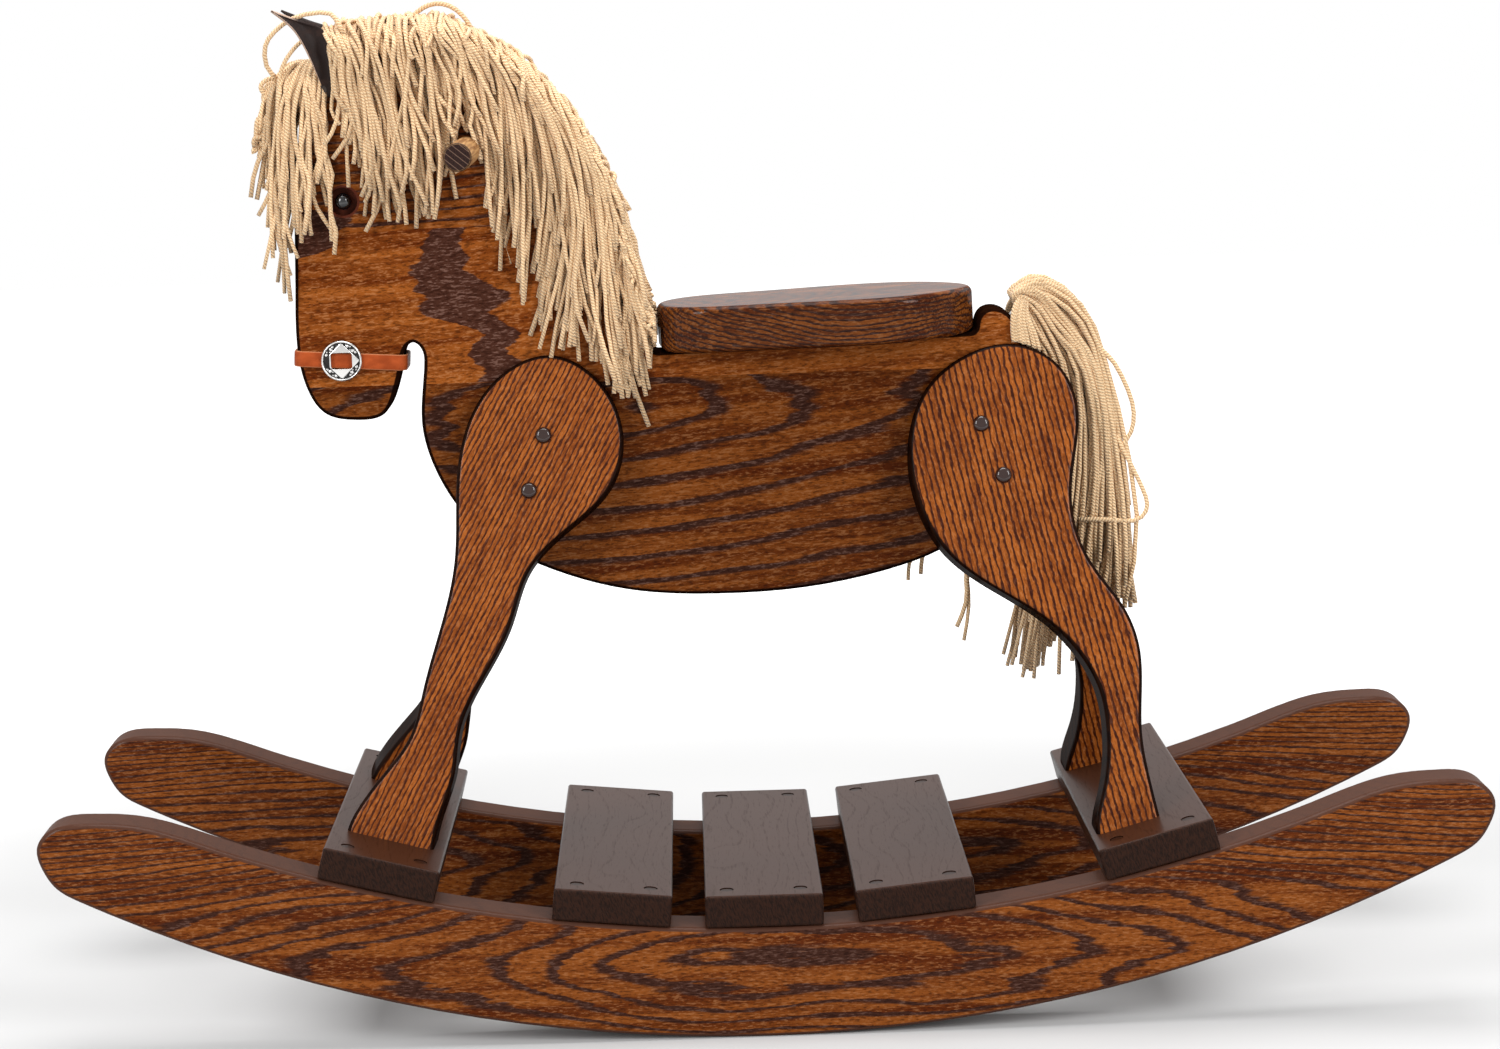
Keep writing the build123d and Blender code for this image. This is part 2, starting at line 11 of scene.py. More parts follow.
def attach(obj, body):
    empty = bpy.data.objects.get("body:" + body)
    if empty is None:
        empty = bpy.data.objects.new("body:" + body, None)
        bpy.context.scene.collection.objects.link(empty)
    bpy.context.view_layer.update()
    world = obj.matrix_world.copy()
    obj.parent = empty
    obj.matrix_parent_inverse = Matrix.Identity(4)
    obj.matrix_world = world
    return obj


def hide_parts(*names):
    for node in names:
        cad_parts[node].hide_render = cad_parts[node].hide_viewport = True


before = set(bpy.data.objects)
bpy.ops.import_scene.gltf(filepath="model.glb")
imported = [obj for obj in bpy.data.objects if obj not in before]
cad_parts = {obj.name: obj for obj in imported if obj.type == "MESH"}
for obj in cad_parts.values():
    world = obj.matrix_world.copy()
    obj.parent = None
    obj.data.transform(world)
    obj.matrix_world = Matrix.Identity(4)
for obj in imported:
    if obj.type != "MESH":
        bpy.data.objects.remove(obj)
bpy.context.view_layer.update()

bl_info = {
    "name": "Rocking Horse Looks",
    "version": (1, 0, 0),
    "blender": (4, 5, 0),
    "location": "View3D > Sidebar > Rocking Horse",
    "description": "Wood, yarn, leather and metal of a rocking horse around its packed parts",
    "category": "Object",
}

HALF = 0.017  # half of the body plank's thickness


# Shader helpers


def math_node(kind, swapped=False):
    """A method that adds one Math node."""

    def method(self, *others):
        values = (*others, self) if swapped else (self, *others)
        return self.nodes.add("ShaderNodeMath", {"operation": kind}, dict(enumerate(values)))

    return method


class Wire:
    """One output socket in a node tree. Arithmetic on it adds Math nodes."""

    def __init__(self, nodes, socket):
        self.nodes, self.socket = nodes, socket

    __add__ = __radd__ = math_node("ADD")
    __sub__ = math_node("SUBTRACT")
    __rsub__ = math_node("SUBTRACT", swapped=True)
    __mul__ = __rmul__ = math_node("MULTIPLY")
    __truediv__ = math_node("DIVIDE")
    __pow__ = math_node("POWER")
    __abs__ = math_node("ABSOLUTE")
    __gt__ = math_node("GREATER_THAN")
    fraction = math_node("FRACT")
    sine = math_node("SINE")
    largest = math_node("MAXIMUM")

    def step(self, low, high):
        """Rises smoothly from 0 at low to 1 at high."""
        sockets = {"Value": self, "From Min": low, "From Max": high}
        return self.nodes.add("ShaderNodeMapRange", {"interpolation_type": "SMOOTHSTEP"}, sockets)


class Nodes:
    """A node tree under construction."""

    def __init__(self, tree):
        self.tree = tree

    def add(self, kind, settings=None, sockets=None, out=0):
        """Adds a node: its settings first, then values or wires for its sockets."""
        node = self.tree.nodes.new(kind)
        for key, value in (settings or {}).items():
            setattr(node, key, value)
        for key, value in (sockets or {}).items():
            self.feed(node.inputs[key], value)
        return Wire(self, node.outputs[out])

    def feed(self, socket, value):
        if isinstance(value, Wire):
            self.tree.links.new(value.socket, socket)
        else:
            socket.default_value = value

    def seen(self):
        """1 for a ray from the camera, off gloss or through glass, and 0 for other rays."""
        names = ("Is Camera Ray", "Is Glossy Ray", "Is Transmission Ray")
        camera, glossy, through_glass = [self.add("ShaderNodeLightPath", out=name) for name in names]
        return camera.largest(glossy).largest(through_glass)


class Paint(Nodes):
    """A material under construction: one Principled shader and the nodes that feed it."""

    def __init__(self, name, **constants):
        self.material = bpy.data.materials.new(name)
        self.material.use_nodes = True
        super().__init__(self.material.node_tree)
        self.shader = self.tree.nodes["Principled BSDF"]
        for key, value in constants.items():
            self.shader.inputs[key.replace("_", " ").title().replace("Ior", "IOR")].default_value = value

    def place(self, what="Object"):
        """Separate coordinates of the point, from Object, UV or Normal."""
        where = self.add("ShaderNodeTexCoord", out=what)
        apart = self.add("ShaderNodeSeparateXYZ", sockets={0: where})
        return [Wire(self, socket) for socket in apart.socket.node.outputs]

    def noise(self, rates, spot=None, detail=2.0, roughness=0.5):
        """Smooth noise about 0.5, with so many features per unit along each axis of the spot."""
        scaled = dict(enumerate(axis * rate for axis, rate in zip(spot or self.place(), rates)))
        where = self.add("ShaderNodeCombineXYZ", sockets=scaled)
        sockets = {"Vector": where, "Scale": 1.0, "Detail": detail, "Roughness": roughness}
        return self.add("ShaderNodeTexNoise", sockets=sockets)

    def mix(self, amount, first, second):
        """Blends two colours."""
        sockets = {0: amount, 6: first, 7: second}
        return self.add("ShaderNodeMix", {"data_type": "RGBA"}, sockets, out=2)

    def dim(self, color, amount):
        """A colour times a number."""
        return self.add("ShaderNodeVectorMath", {"operation": "SCALE"}, {0: color, "Scale": amount})

    def attribute(self, name):
        return self.add("ShaderNodeAttribute", {"attribute_name": name}, out="Fac")

    def put(self, name, value):
        """Feeds an input of the shader."""
        self.feed(self.shader.inputs[name], value)

    def finish(self, color, roughness, height, depth):
        """Feeds colour, roughness where it varies, and a bump of the given depth in metres."""
        self.put("Base Color", color)
        if roughness is not None:
            self.put("Roughness", roughness)
        bump = self.add("ShaderNodeBump", sockets={"Height": height, "Distance": depth, "Strength": 1.0})
        self.put("Normal", bump)
        return self.material


def srgb(red, green, blue):
    """A colour as seen on screen, 0 to 255, as linear light."""
    levels = np.array([red, green, blue]) / 255
    linear = np.where(levels < 0.04045, levels / 12.92, ((levels + 0.055) / 1.055) ** 2.4)
    return (*linear.tolist(), 1.0)


def shaded(color, share):
    """A colour made darker or lighter."""
    return (*[min(1.0, level * share) for level in color[:3]], 1.0)


# Sizes and colours


def tint(name, text, value):
    return bpy.props.FloatVectorProperty(
        name=name, description=text, default=value, size=4, min=0, max=1, subtype="COLOR"
    )


def size(name, text, value):
    return bpy.props.FloatProperty(name=name, description=text, default=value, unit="LENGTH", precision=4)


class HorseWood(PropertyGroup):
    pale: tint("Pale wood", "Latewood between the growth rings", srgb(172, 94, 36))
    warm: tint("Warm wood", "Streaks of a deeper orange", srgb(112, 48, 11))
    # Partly painted sheen: pale fibres given a lightened, greyed colour.
    fibre_sheen: tint("Bright fibres", "Short fibres that catch the light", srgb(216, 148, 94))
    dark: tint("Dark grain", "Stain gathered in single pores", srgb(44, 16, 7))
    vein: tint("Veins", "Porous wood where a growth ring starts", srgb(80, 46, 34))
    # Partly painted sheen: pale pore walls given a lightened, greyed colour.
    speck_sheen: tint("Vein specks", "Walls between the pores of a vein", srgb(150, 112, 98))
    edge: tint("Edge stain", "Stain on rounded edges", srgb(16, 7, 5))
    board: tint("Board wood", "Foot slats and leg boards", srgb(54, 30, 19))


class HorseYarn(PropertyGroup):
    pale: tint("Pale yarn", "Yarn that faces the light", srgb(255, 222, 177))
    # Painted shade: the colour that the grooves between the plies are darkened to.
    deep: tint("Deep yarn", "Grooves between the plies", srgb(196, 141, 90))
    thick: size("Strand", "Diameter of one strand of yarn", 0.0032)
    twist: size("Twist", "Length of one turn of the plies", 0.0045)


class HorseStage(PropertyGroup):
    lens: bpy.props.FloatProperty(
        name="Lens", description="Focal length of the camera", default=77.41, unit="CAMERA"
    )
    floor: tint("Floor", "Pale floor under the rockers", (0.57, 0.57, 0.57, 1.0))


# Mesh helpers


def new_piece(name, points, faces, *materials, uv=None):
    """A mesh object at the origin from arrays of points, faces and corner coordinates."""
    mesh = bpy.data.meshes.new(name)
    mesh.from_pydata(points.reshape(-1, 3), [], faces)
    mesh.polygons.foreach_set("use_smooth", np.full(len(mesh.polygons), True))
    for material in materials:
        mesh.materials.append(material)
    if uv is not None:
        layer = mesh.uv_layers.new(name="UVMap")
        layer.data.foreach_set("uv", uv.astype(np.float32).ravel())
    mesh.update()
    piece = bpy.data.objects.new(name, mesh)
    bpy.context.scene.collection.objects.link(piece)
    return piece


def grid_faces(rows, columns, wrap=False):
    """Corner numbers of the quads between neighbouring rows and columns of a grid."""
    across = columns if wrap else columns - 1
    row, column = np.meshgrid(np.arange(rows - 1), np.arange(across), indexing="ij")
    after = (column + 1) % columns
    here, there = row * columns, (row + 1) * columns
    corners = [here + column, here + after, there + after, there + column]
    return np.stack(corners, axis=-1).reshape(-1, 4)


def run_along(paths):
    """Lengths from the start of each path (paths, points, axes) to each of its points."""
    steps = np.linalg.norm(np.diff(paths, axis=1), axis=2)
    return np.pad(np.cumsum(steps, axis=1), ((0, 0), (1, 0)))


def along(line, spots):
    """Points of a polyline at fractions of its length."""
    run = run_along(line[None])[0]
    return np.stack([np.interp(spots, run / run[-1], column) for column in line.T], axis=-1)


def heading(paths):
    """Unit steps along each path."""
    way = np.gradient(paths, axis=1)
    return way / np.linalg.norm(way, axis=2, keepdims=True)


def circle(count):
    """Angles of so many points round a circle, and their cosines and sines."""
    turn = np.linspace(0, 2 * np.pi, count, endpoint=False)
    return turn, np.stack([np.cos(turn), np.sin(turn)], axis=1)


def through(controls, count, reach=1.0):
    """Natural cubic splines through control points (strands, points, 3), followed for a part of
    their run. Each bend is solved from the rule that neighbouring bends weigh 1, 4 and 1."""
    points = controls.shape[1]
    inner = np.arange(1, points - 1)
    rule, pull, one = np.eye(points), np.zeros((points, points)), np.eye(points)
    rule[inner, inner - 1] = rule[inner, inner + 1] = 1
    rule[inner, inner] = 4
    pull[inner, inner - 1] = pull[inner, inner + 1] = 6
    pull[inner, inner] = -12
    bent = np.linalg.solve(rule, pull)
    t = np.reshape(reach, (-1, 1)) * np.linspace(0, points - 1, count)
    n = np.minimum(t.astype(int), points - 2)
    f = (t - n)[..., None]
    weights = (1 - f) * one[n] + f * one[n + 1]
    weights += ((1 - f) ** 3 - (1 - f)) / 6 * bent[n] + (f**3 - f) / 6 * bent[n + 1]
    return weights @ controls


def lines(text):
    """Lines of points from a table in millimetres: commas part the points and semicolons the lines."""
    return [np.array([spot.split() for spot in line.split(",")], float) / 1000 for line in text.split(";")]


def blended(guides, place):
    """Points between neighbouring guide lines. Place (strands, points) counts the guides."""
    first = np.clip(place.astype(int), 0, len(guides) - 2)
    share = (place - first)[..., None]
    column = np.arange(guides.shape[1])
    return guides[first, column] * (1 - share) + guides[first + 1, column] * share


# Added to a direction so that no strand's first normal lies along the strand
ASKEW = (0.31, 0.17, 0.23)


def frames(paths):
    """Directions square to many centre lines, carried along each line without twist."""
    way = heading(paths)
    normal = np.empty_like(way)
    last = np.roll(way[:, 0], 1, axis=1) + ASKEW
    for station in range(way.shape[1]):
        ahead = way[:, station]
        last = last - ahead * np.sum(last * ahead, axis=1, keepdims=True)
        last = last / np.linalg.norm(last, axis=1, keepdims=True)
        normal[:, station] = last
    return normal, np.cross(way, normal)


STATIONS = 15  # points along a strand
UNEVEN = (0.88, 1.1)  # thinnest and thickest strand, as shares of the yarn's diameter
TONE_SPREAD = 0.32
LOOSE_TONE = 0.1


def yarn_piece(name, paths, tones, seed, loops=(), sides=5):
    """Tubes along many centre lines and a few loose loops: each ring is the circle
    centre + r (cos a normal + sin a binormal). Ends are capped, and a strand attribute holds a tone:
    a random spread on top of the callers' tones, which paint shade on strands that lie under others."""
    yarn = bpy.context.scene.horse_yarn
    rng = np.random.default_rng(seed)
    paths = np.concatenate([paths, *[through(loop[None], STATIONS) for loop in loops]])
    tones = np.concatenate([tones, np.full(len(loops), LOOSE_TONE)])
    strands, stations = paths.shape[:2]
    normal, binormal = frames(paths)
    aim = circle(sides)[1]
    radius = yarn.thick / 2 * rng.uniform(*UNEVEN, (strands, 1, 1, 1))
    ring = aim[:, :1] * normal[:, :, None] + aim[:, 1:] * binormal[:, :, None]
    points = paths[:, :, None] + radius * ring
    one = grid_faces(stations, sides, wrap=True)
    first = np.arange(strands) * stations * sides
    walls = (one[None] + first[:, None, None]).reshape(-1, 4)
    start = np.arange(sides)[::-1] + first[:, None]
    end = np.arange(sides) + (stations - 1) * sides + first[:, None]
    run = run_along(paths) / yarn.twist + rng.uniform(0, 1, (strands, 1))
    low, high = run[:, :-1, None], run[:, 1:, None]
    left = np.arange(sides) / sides
    right = left + 1 / sides
    uv = np.stack(np.broadcast_arrays(left, low, right, low, right, high, left, high), axis=-1)
    caps = np.zeros((2 * strands * sides, 2))
    faces = walls.tolist() + start.tolist() + end.tolist()
    uv = np.concatenate([uv.reshape(-1, 2), caps])
    piece = new_piece(name, points, faces, bpy.data.materials["yarn strands"], uv=uv)
    tone = piece.data.attributes.new("tone", "FLOAT", "POINT")
    # Random tone on top of the painted shade that the callers give inner strands.
    tones = np.clip(tones + rng.uniform(0, TONE_SPREAD, strands), 0, 1)
    tone.data.foreach_set("value", np.repeat(tones, stations * sides))
    return piece


def sway(paths, rng, reach):
    """Adds a slow sideways wave to each strand that grows towards its free end."""
    t = np.linspace(0, 1, paths.shape[1])[None, :, None]
    phase = rng.uniform(0, 2 * np.pi, (len(paths), 1, 3))
    pace = rng.uniform(4, 11, (len(paths), 1, 3))
    wave = rng.uniform(0.2, 1, (len(paths), 1, 3)) * np.sin(phase + pace * t) * t**0.8
    return paths + wave * (reach, reach * 0.5, reach)


# Materials


NEXT_BOARD = 0.37  # how far the grain of each board is shifted from the one below
ROUNDED = (0.9, 0.968)  # how square to the plank's face an edge and the face are
SOCKET = srgb(88, 42, 29)  # wood in the recess that an eye sits in
PORE_DEPTH = 0.0002


def oak(name, axes="xzy", lean=0.0, pith=((0.0, -0.05, 90.0, 0.1),), rings=None, boards=(), tones=(1.0,),
        drift=0.03, jag=0.004, long=2.5, wide=8.0, early=0.34, comb=0.3, dash=36.0, face=(0.0, 1.0, 0.0),
        stain=1.0, edged=0.97, trim=None, rough=0.36, gloss=0.06, rim=0.0, flecks=1.0, specks=0.55,
        polish=0.2, vein=None, patches=(), keep=None):
    """Stained oak, with axes along the grain, across it and through the plank.
    A growth ring is a whole number of rate times the distance from the pith, a line that slopes
    through the plank along the grain and drifts with slow noise and a finer zigzag. Each ring starts
    with a dark porous vein with pale specks, and dark pores and bright fibres fleck the wood between
    veins. The pale specks and bright fibres are lightened and greyed, partly as a painted sheen.
    Boards are heights where a new board starts, with its own pith and tone. Narrow edges,
    whose normal leaves the plank's face direction, take a darker stain and keep a share of the gloss."""
    wood = bpy.context.scene.horse_wood
    paint = Paint(name, coat_roughness=polish, specular_ior_level=0.0)
    spot = dict(zip("xyz", paint.place()))
    first, second, d = [spot[axis] for axis in axes]
    u = first * math.cos(lean) + second * math.sin(lean)
    w = second * math.cos(lean) - first * math.sin(lean)
    kinds = [(*middle, tone) for middle, tone in zip(pith, tones)]
    values = kinds[0]
    for height, before, after in zip(boards, kinds, kinds[1:]):
        above = second > height
        values = [above * (new - old) + value for old, new, value in zip(before, after, values)]
        u = u + above * NEXT_BOARD
    across, depth, rate, slope, tone = values
    inside = (u, d, w)
    slow = paint.noise((long, 6, wide), inside) - 0.5
    zigzag = paint.noise((6, 30, 48), inside, detail=1.0) - 0.5
    if rings:
        number = rings(u, w, d, slow, zigzag)
    else:
        off = w - across
        deep = d - depth + u * slope + slow * (drift * 3) + zigzag * (jag * 3)
        number = (off * off + deep * deep) ** 0.5 * rate
    teeth = paint.noise((dash, 330, 330), inside, roughness=0.6)
    band = (number + (teeth - 0.5) * comb).fraction()
    porous = band.step(0.93, 1.0) + 1 - band.step(early * 0.55, early * 1.15)
    for patch in patches:
        porous = porous.largest(dark_patch(paint, first, second, teeth, *patch))
    fine = paint.noise((190, 800, 800), inside, roughness=0.65)
    streak = paint.noise((5, 110, 110), inside, detail=4.0, roughness=0.6)
    dull, bright = fine.step(0.53, 0.66), 1 - fine.step(0.36, 0.46)
    # The bright fibres and the pale vein specks are partly painted sheen: lightened, greyed colours.
    light = paint.mix(streak.step(0.36, 0.62) * flecks + (1 - flecks), wood.warm, wood.pale)
    grain = paint.mix(bright * (flecks * 0.4), light, wood.fibre_sheen)
    grain = paint.mix(dull * (flecks * 0.55), grain, wood.dark)
    pitted = paint.mix(bright * specks, vein or wood.vein, wood.speck_sheen)
    pitted = paint.mix(dull * 0.6, pitted, wood.dark)
    color = paint.dim(paint.mix(porous, grain, pitted), tone * stain)
    pores = dull * (porous * 0.5 + 0.5)
    nx, ny, nz = paint.place("Normal")
    square = abs(nx) * face[0] + abs(ny) * face[1] + abs(nz) * face[2]
    edge = 1 - square.step(*ROUNDED)
    if keep:
        middle, level, radius = keep
        x, z = first - middle, second - level
        around = (x * x + z * z) ** 0.5
        edge = edge * around.step(radius * 0.95, radius)
        color = paint.mix(1 - around.step(radius * 0.88, radius * 0.94), color, SOCKET)
    paint.put("Coat Weight", gloss - edge * (gloss * (1 - rim)))
    color = paint.mix(edge * edged, color, trim or wood.edge)
    return paint.finish(color, rough + pores * 0.15 + edge * 0.1, 1 - pores, PORE_DEPTH)


RING_MIDDLE = (-0.195, 0.055)


def ellipses(u, w, d, slow, zigzag):
    """Ring numbers of a plank cut close to the pith: long ellipses about one spot that flatten out
    into close lines towards the ends of the plank."""
    along_grain = u + d * 1.6 - RING_MIDDLE[0]
    off = w - RING_MIDDLE[1]
    square = along_grain * along_grain
    return off * off * 1450 + square * 60 / (square * 4 + 1) + slow * 3.0 + zigzag * 2.0 + 0.25


def dark_patch(paint, along_grain, height, teeth, middle, half, low, high):
    """A vein cut nearly flat: a broad upright band, wider below its top, that steps back near its foot
    and whose sides run out in zigzag points."""
    slow = paint.noise((5, 1, 42), (along_grain, 0.3, height), detail=1.0)
    foot = 1 - height.step(low + 0.028, low + 0.06)
    shift = (slow - 0.5) * 0.12 + (teeth - 0.5) * 0.012 - foot * 0.022
    broad = 1.7 - height.step(high - 0.045, high - 0.01) * 0.8 - foot * 0.8
    inside = 1 - (abs(along_grain - middle + shift) / broad).step(half * 0.94, half * 1.06)
    return inside * height.step(low, low + 0.0005) * (1 - height.step(high - 0.0005, high))


GROOVE_DEPTH = 0.0006


def yarn_material():
    """Two-ply yarn: grooves wind round the strand, with fine fibres across them. The grooves are darkened
    towards the deep yarn as painted shade.
    """
    yarn = bpy.context.scene.horse_yarn
    surface = {"roughness": 0.85, "specular_ior_level": 0.15, "sheen_weight": 0.25, "sheen_roughness": 0.5}
    paint = Paint("yarn strands", **surface)
    u, v, _ = paint.place("UV")
    tone = paint.attribute("tone")
    turn = (u * 2 + v * 2) * math.tau
    ply = turn.sine() * 0.5 + 0.5
    fibre = paint.noise((1, 14, 90), (u * 6 + v * 3, v, tone))
    # Painted shade in the grooves between the plies.
    groove = 1 - ply.step(0.05, 0.6)
    # The tone darkens a strand towards half its pale colour: random tone and painted shade together.
    light = paint.mix(tone, yarn.pale, shaded(yarn.pale, 0.5))
    color = paint.mix(groove * 0.6 + (fibre - 0.5) * 0.35, light, yarn.deep)
    return paint.finish(color, None, ply + fibre * 0.35, GROOVE_DEPTH)


MOTTLE, MOTTLE_DEPTH = 400.0, 0.0005  # per metre, and in metres
SPECK = 0.12


def plain(name, color, roughness, vary=0.2, **constants):
    """A single finish with a fine mottle in its colour, gloss and surface."""
    paint = Paint(name, **constants)
    mottle = paint.noise((MOTTLE, MOTTLE, MOTTLE), detail=3.0)
    color = paint.mix(mottle, shaded(color, 1 - 2 * SPECK), shaded(color, 1 + 2 * SPECK))
    return paint.finish(color, roughness + (mottle - 0.5) * vary, mottle, vary * MOTTLE_DEPTH)


def dress(material, *nodes):
    """Puts a material on carried-over nodes."""
    for node in nodes:
        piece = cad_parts[node]
        piece.data.materials.clear()
        piece.data.materials.append(material)


# Operators


CAMERA_TURN = (0.0171, 0.1637, 0.0288)  # yaw, pitch and roll
CAMERA_PLACE, CAMERA_REACH = (-0.0428, -2.24653, 0.69948), 50
LIT_SPOT = (0.0, 0.0, 0.35)
# Name, place, width, height and power
LIGHTS = (
    ("front left light", (-2.1, -1.9, 1.6), 0.7, 1.5, 46),
    ("front right light", (1.9, -1.9, 1.6), 0.7, 1.5, 44),
    ("back left light", (-1.9, 2.2, 2.0), 1.6, 1.6, 16),
    ("back right light", (1.9, 2.2, 2.0), 1.6, 1.6, 16),
    ("top light", (0, 0.1, 2.6), 1.8, 1.8, 62),
)
WHITE = (1.0, 1.0, 1.0, 1.0)
AMBIENT = 0.42  # light that the white surroundings cast
FLOOR_HALF, FLOOR_CUTS = 6.0, 13
FLOOR_FADE = (0.6, 1.5)  # distances between which the floor turns white
FLOOR_GLOW = (0.02, 0.02, 0.02, 1.0)


class StageOperator(Operator):
    """Camera, soft lights, white surroundings and a pale floor"""

    bl_idname = "horse.stage"
    bl_label = "Stage"

    def execute(self, context):
        scene = context.scene
        stage = scene.horse_stage
        yaw, pitch, roll = CAMERA_TURN
        parts = ((-yaw, "Z"), (math.pi / 2 - pitch, "X"), (-roll, "Z"))
        turned, tipped, rolled = [Matrix.Rotation(angle, 4, axis) for angle, axis in parts]
        lens = bpy.data.cameras.new("camera")
        lens.lens = stage.lens
        lens.clip_end = CAMERA_REACH
        camera = bpy.data.objects.new("camera", lens)
        scene.collection.objects.link(camera)
        camera.matrix_world = Matrix.Translation(CAMERA_PLACE) @ turned @ tipped @ rolled
        scene.camera = camera

        for name, place, width, height, power in LIGHTS:
            lamp = bpy.data.lights.new(name, "AREA")
            lamp.shape = "RECTANGLE"
            lamp.size, lamp.size_y = width, height
            lamp.energy = power
            light = bpy.data.objects.new(name, lamp)
            light.location = place
            light.rotation_mode = "QUATERNION"
            light.rotation_quaternion = (Vector(place) - Vector(LIT_SPOT)).to_track_quat("Z", "Y")
            scene.collection.objects.link(light)

        world = bpy.data.worlds.new("surroundings")
        world.use_nodes = True
        sky = Nodes(world.node_tree)
        background = world.node_tree.nodes["Background"]
        background.inputs["Color"].default_value = WHITE
        sky.feed(background.inputs["Strength"], sky.seen() * (1 - AMBIENT) + AMBIENT)
        scene.world = world
        scene.view_settings.view_transform = "Standard"

        spread = np.linspace(-FLOOR_HALF, FLOOR_HALF, FLOOR_CUTS)
        points = np.stack([*np.meshgrid(spread, spread, 0.0, indexing="ij")], axis=-1)
        paint = Paint("floor", roughness=0.9, specular_ior_level=0.0, emission_strength=1.0)
        x, y, _ = paint.place()
        far = ((x * x + y * y) ** 0.5).step(*FLOOR_FADE)
        paint.put("Base Color", stage.floor)
        glow = paint.dim(paint.mix(far, FLOOR_GLOW, WHITE), paint.seen())
        paint.put("Emission Color", glow)
        faces = grid_faces(FLOOR_CUTS, FLOOR_CUTS)[:, ::-1].tolist()
        floor = new_piece("floor", points, faces, paint.material)
        return {"FINISHED"}


class WoodOperator(Operator):
    """Stained oak on the body, legs, rockers, boards, seat, handle and plugs"""

    bl_idname = "horse.wood"
    bl_label = "Wood"

    def execute(self, context):
        body = oak("body oak", lean=0.06, boards=JOINTS, tones=(0.47, 0.77, 0.64), drift=0.02, jag=0.0085,
                   long=5, wide=10, early=0.27, stain=0.9, gloss=0.05, keep=EYE,
                   patches=((-0.209, 0.015, *JOINTS), (-0.329, 0.017, 0.519, 0.590)),
                   pith=((0.42, -0.035, 58, 0.3), (0.50, -0.6, 6, 0.09), (0.2, -0.1, 150, 0.09)))
        dress(body, "body_board")
        leg = {"early": 0.4, "comb": 0.9, "dash": 75, "rim": 0.35, "flecks": 0.6, "specks": 0.1}
        front = oak("front leg oak", lean=math.radians(60), pith=((-0.6, 0, 290, 0.05),), drift=0.012,
                    jag=0.002, face=(0, 0.976, 0.216), stain=0.78, gloss=0.2, vein=srgb(82, 38, 20), **leg)
        dress(front, "front_leg_left", "front_leg_right")
        rear = oak("rear leg oak", lean=math.radians(101), pith=((-0.7, 0, 230, 0.05),), drift=0.014,
                   jag=0.0025, face=(0, 0.967, 0.255), stain=0.75, gloss=0.18, vein=srgb(72, 32, 17), **leg)
        dress(rear, "rear_leg_left", "rear_leg_right")
        # The rocker's narrow faces take a lighter grey-brown than the edge stain, partly a painted
        # reflection on the top strip.
        rocker = oak("rocker oak", rings=ellipses, long=4, early=0.3, comb=0.5, stain=0.54, gloss=0.12,
                     specks=0.4, trim=srgb(76, 49, 38), rim=1.2)
        dress(rocker, "rocker_left", "rocker_right")
        seat = oak("seat oak", axes="xyz", pith=((0.01, 0.36, 330, 0.05),), stain=0.36, edged=0.0, rough=0.3,
                   jag=0.003, gloss=0.46, rim=0.35, early=0.42, comb=1.0, dash=60, specks=0.3, polish=0.1,
                   face=(0, 0, 1))
        dress(seat, "seat")
        dress(board_oak(), "front_leg_board", "rear_leg_board", "foot_slat_front", "foot_slat_middle",
              "foot_slat_rear")
        dress(handle_wood(), "handle_dowel")
        dress(plain("plug wood", srgb(40, 18, 11), 0.06, vary=0.03, specular_ior_level=0.5), "leg_plugs")
        dress(flush_plug_wood(), "board_plugs", "seat_dowels")
        return {"FINISHED"}


JOINTS = (0.437, 0.545)  # heights where the boards of the body meet
EYE = (-0.278, 0.565, 0.0125)  # distance along, height and radius of the eye's recess
BOARD_GLOSS = {"coat_weight": 0.04, "coat_roughness": 0.16, "specular_ior_level": 0.08}


def board_oak():
    """Dark oak of the cross boards: broad faint rings on top, and scratched pores on the ends."""
    wood = bpy.context.scene.horse_wood
    paint = Paint("board oak", **BOARD_GLOSS)
    x, y, z = paint.place()
    slow = paint.noise((14, 5, 14))
    ring = ((x + z * 0.4) * 90 + slow * 9).fraction()
    line = ring.step(0.72, 0.95) * (1 - ring.step(0.95, 1.0))
    fine = paint.noise((900, 80, 900), roughness=0.6)
    cross = paint.noise((1100, 300, 260), (x + z * 0.3, y, z - x * 0.3), roughness=0.6)
    top = abs(paint.place("Normal")[2]).step(0.6, 0.95)
    pores = (fine + line * 0.12).step(0.56, 0.72) * 0.3 + line * 0.07
    cut = cross.step(0.4, 0.66)
    color = paint.mix(top * pores + (1 - top) * cut, shaded(wood.board, 1.1), shaded(wood.board, 0.4))
    color = paint.dim(color, top * 0.35 + 0.65)
    return paint.finish(color, 0.34 + pores * 0.2, 1 - cut * (1 - top), PORE_DEPTH)


def flush_plug_wood():
    """Plugs of the board's wood whose bevelled rim is filled with dark stain."""
    wood = bpy.context.scene.horse_wood
    paint = Paint("flush plug wood", **BOARD_GLOSS)
    streak = paint.noise((900, 120, 900))
    rim = 1 - abs(paint.place("Normal")[2]).step(0.8, 0.9)
    color = paint.mix(streak * 0.6 + 0.4, wood.board, shaded(wood.board, 0.3))
    return paint.finish(paint.mix(rim, color, srgb(9, 5, 4)), 0.34 + rim * 0.4, streak, 0.0001)


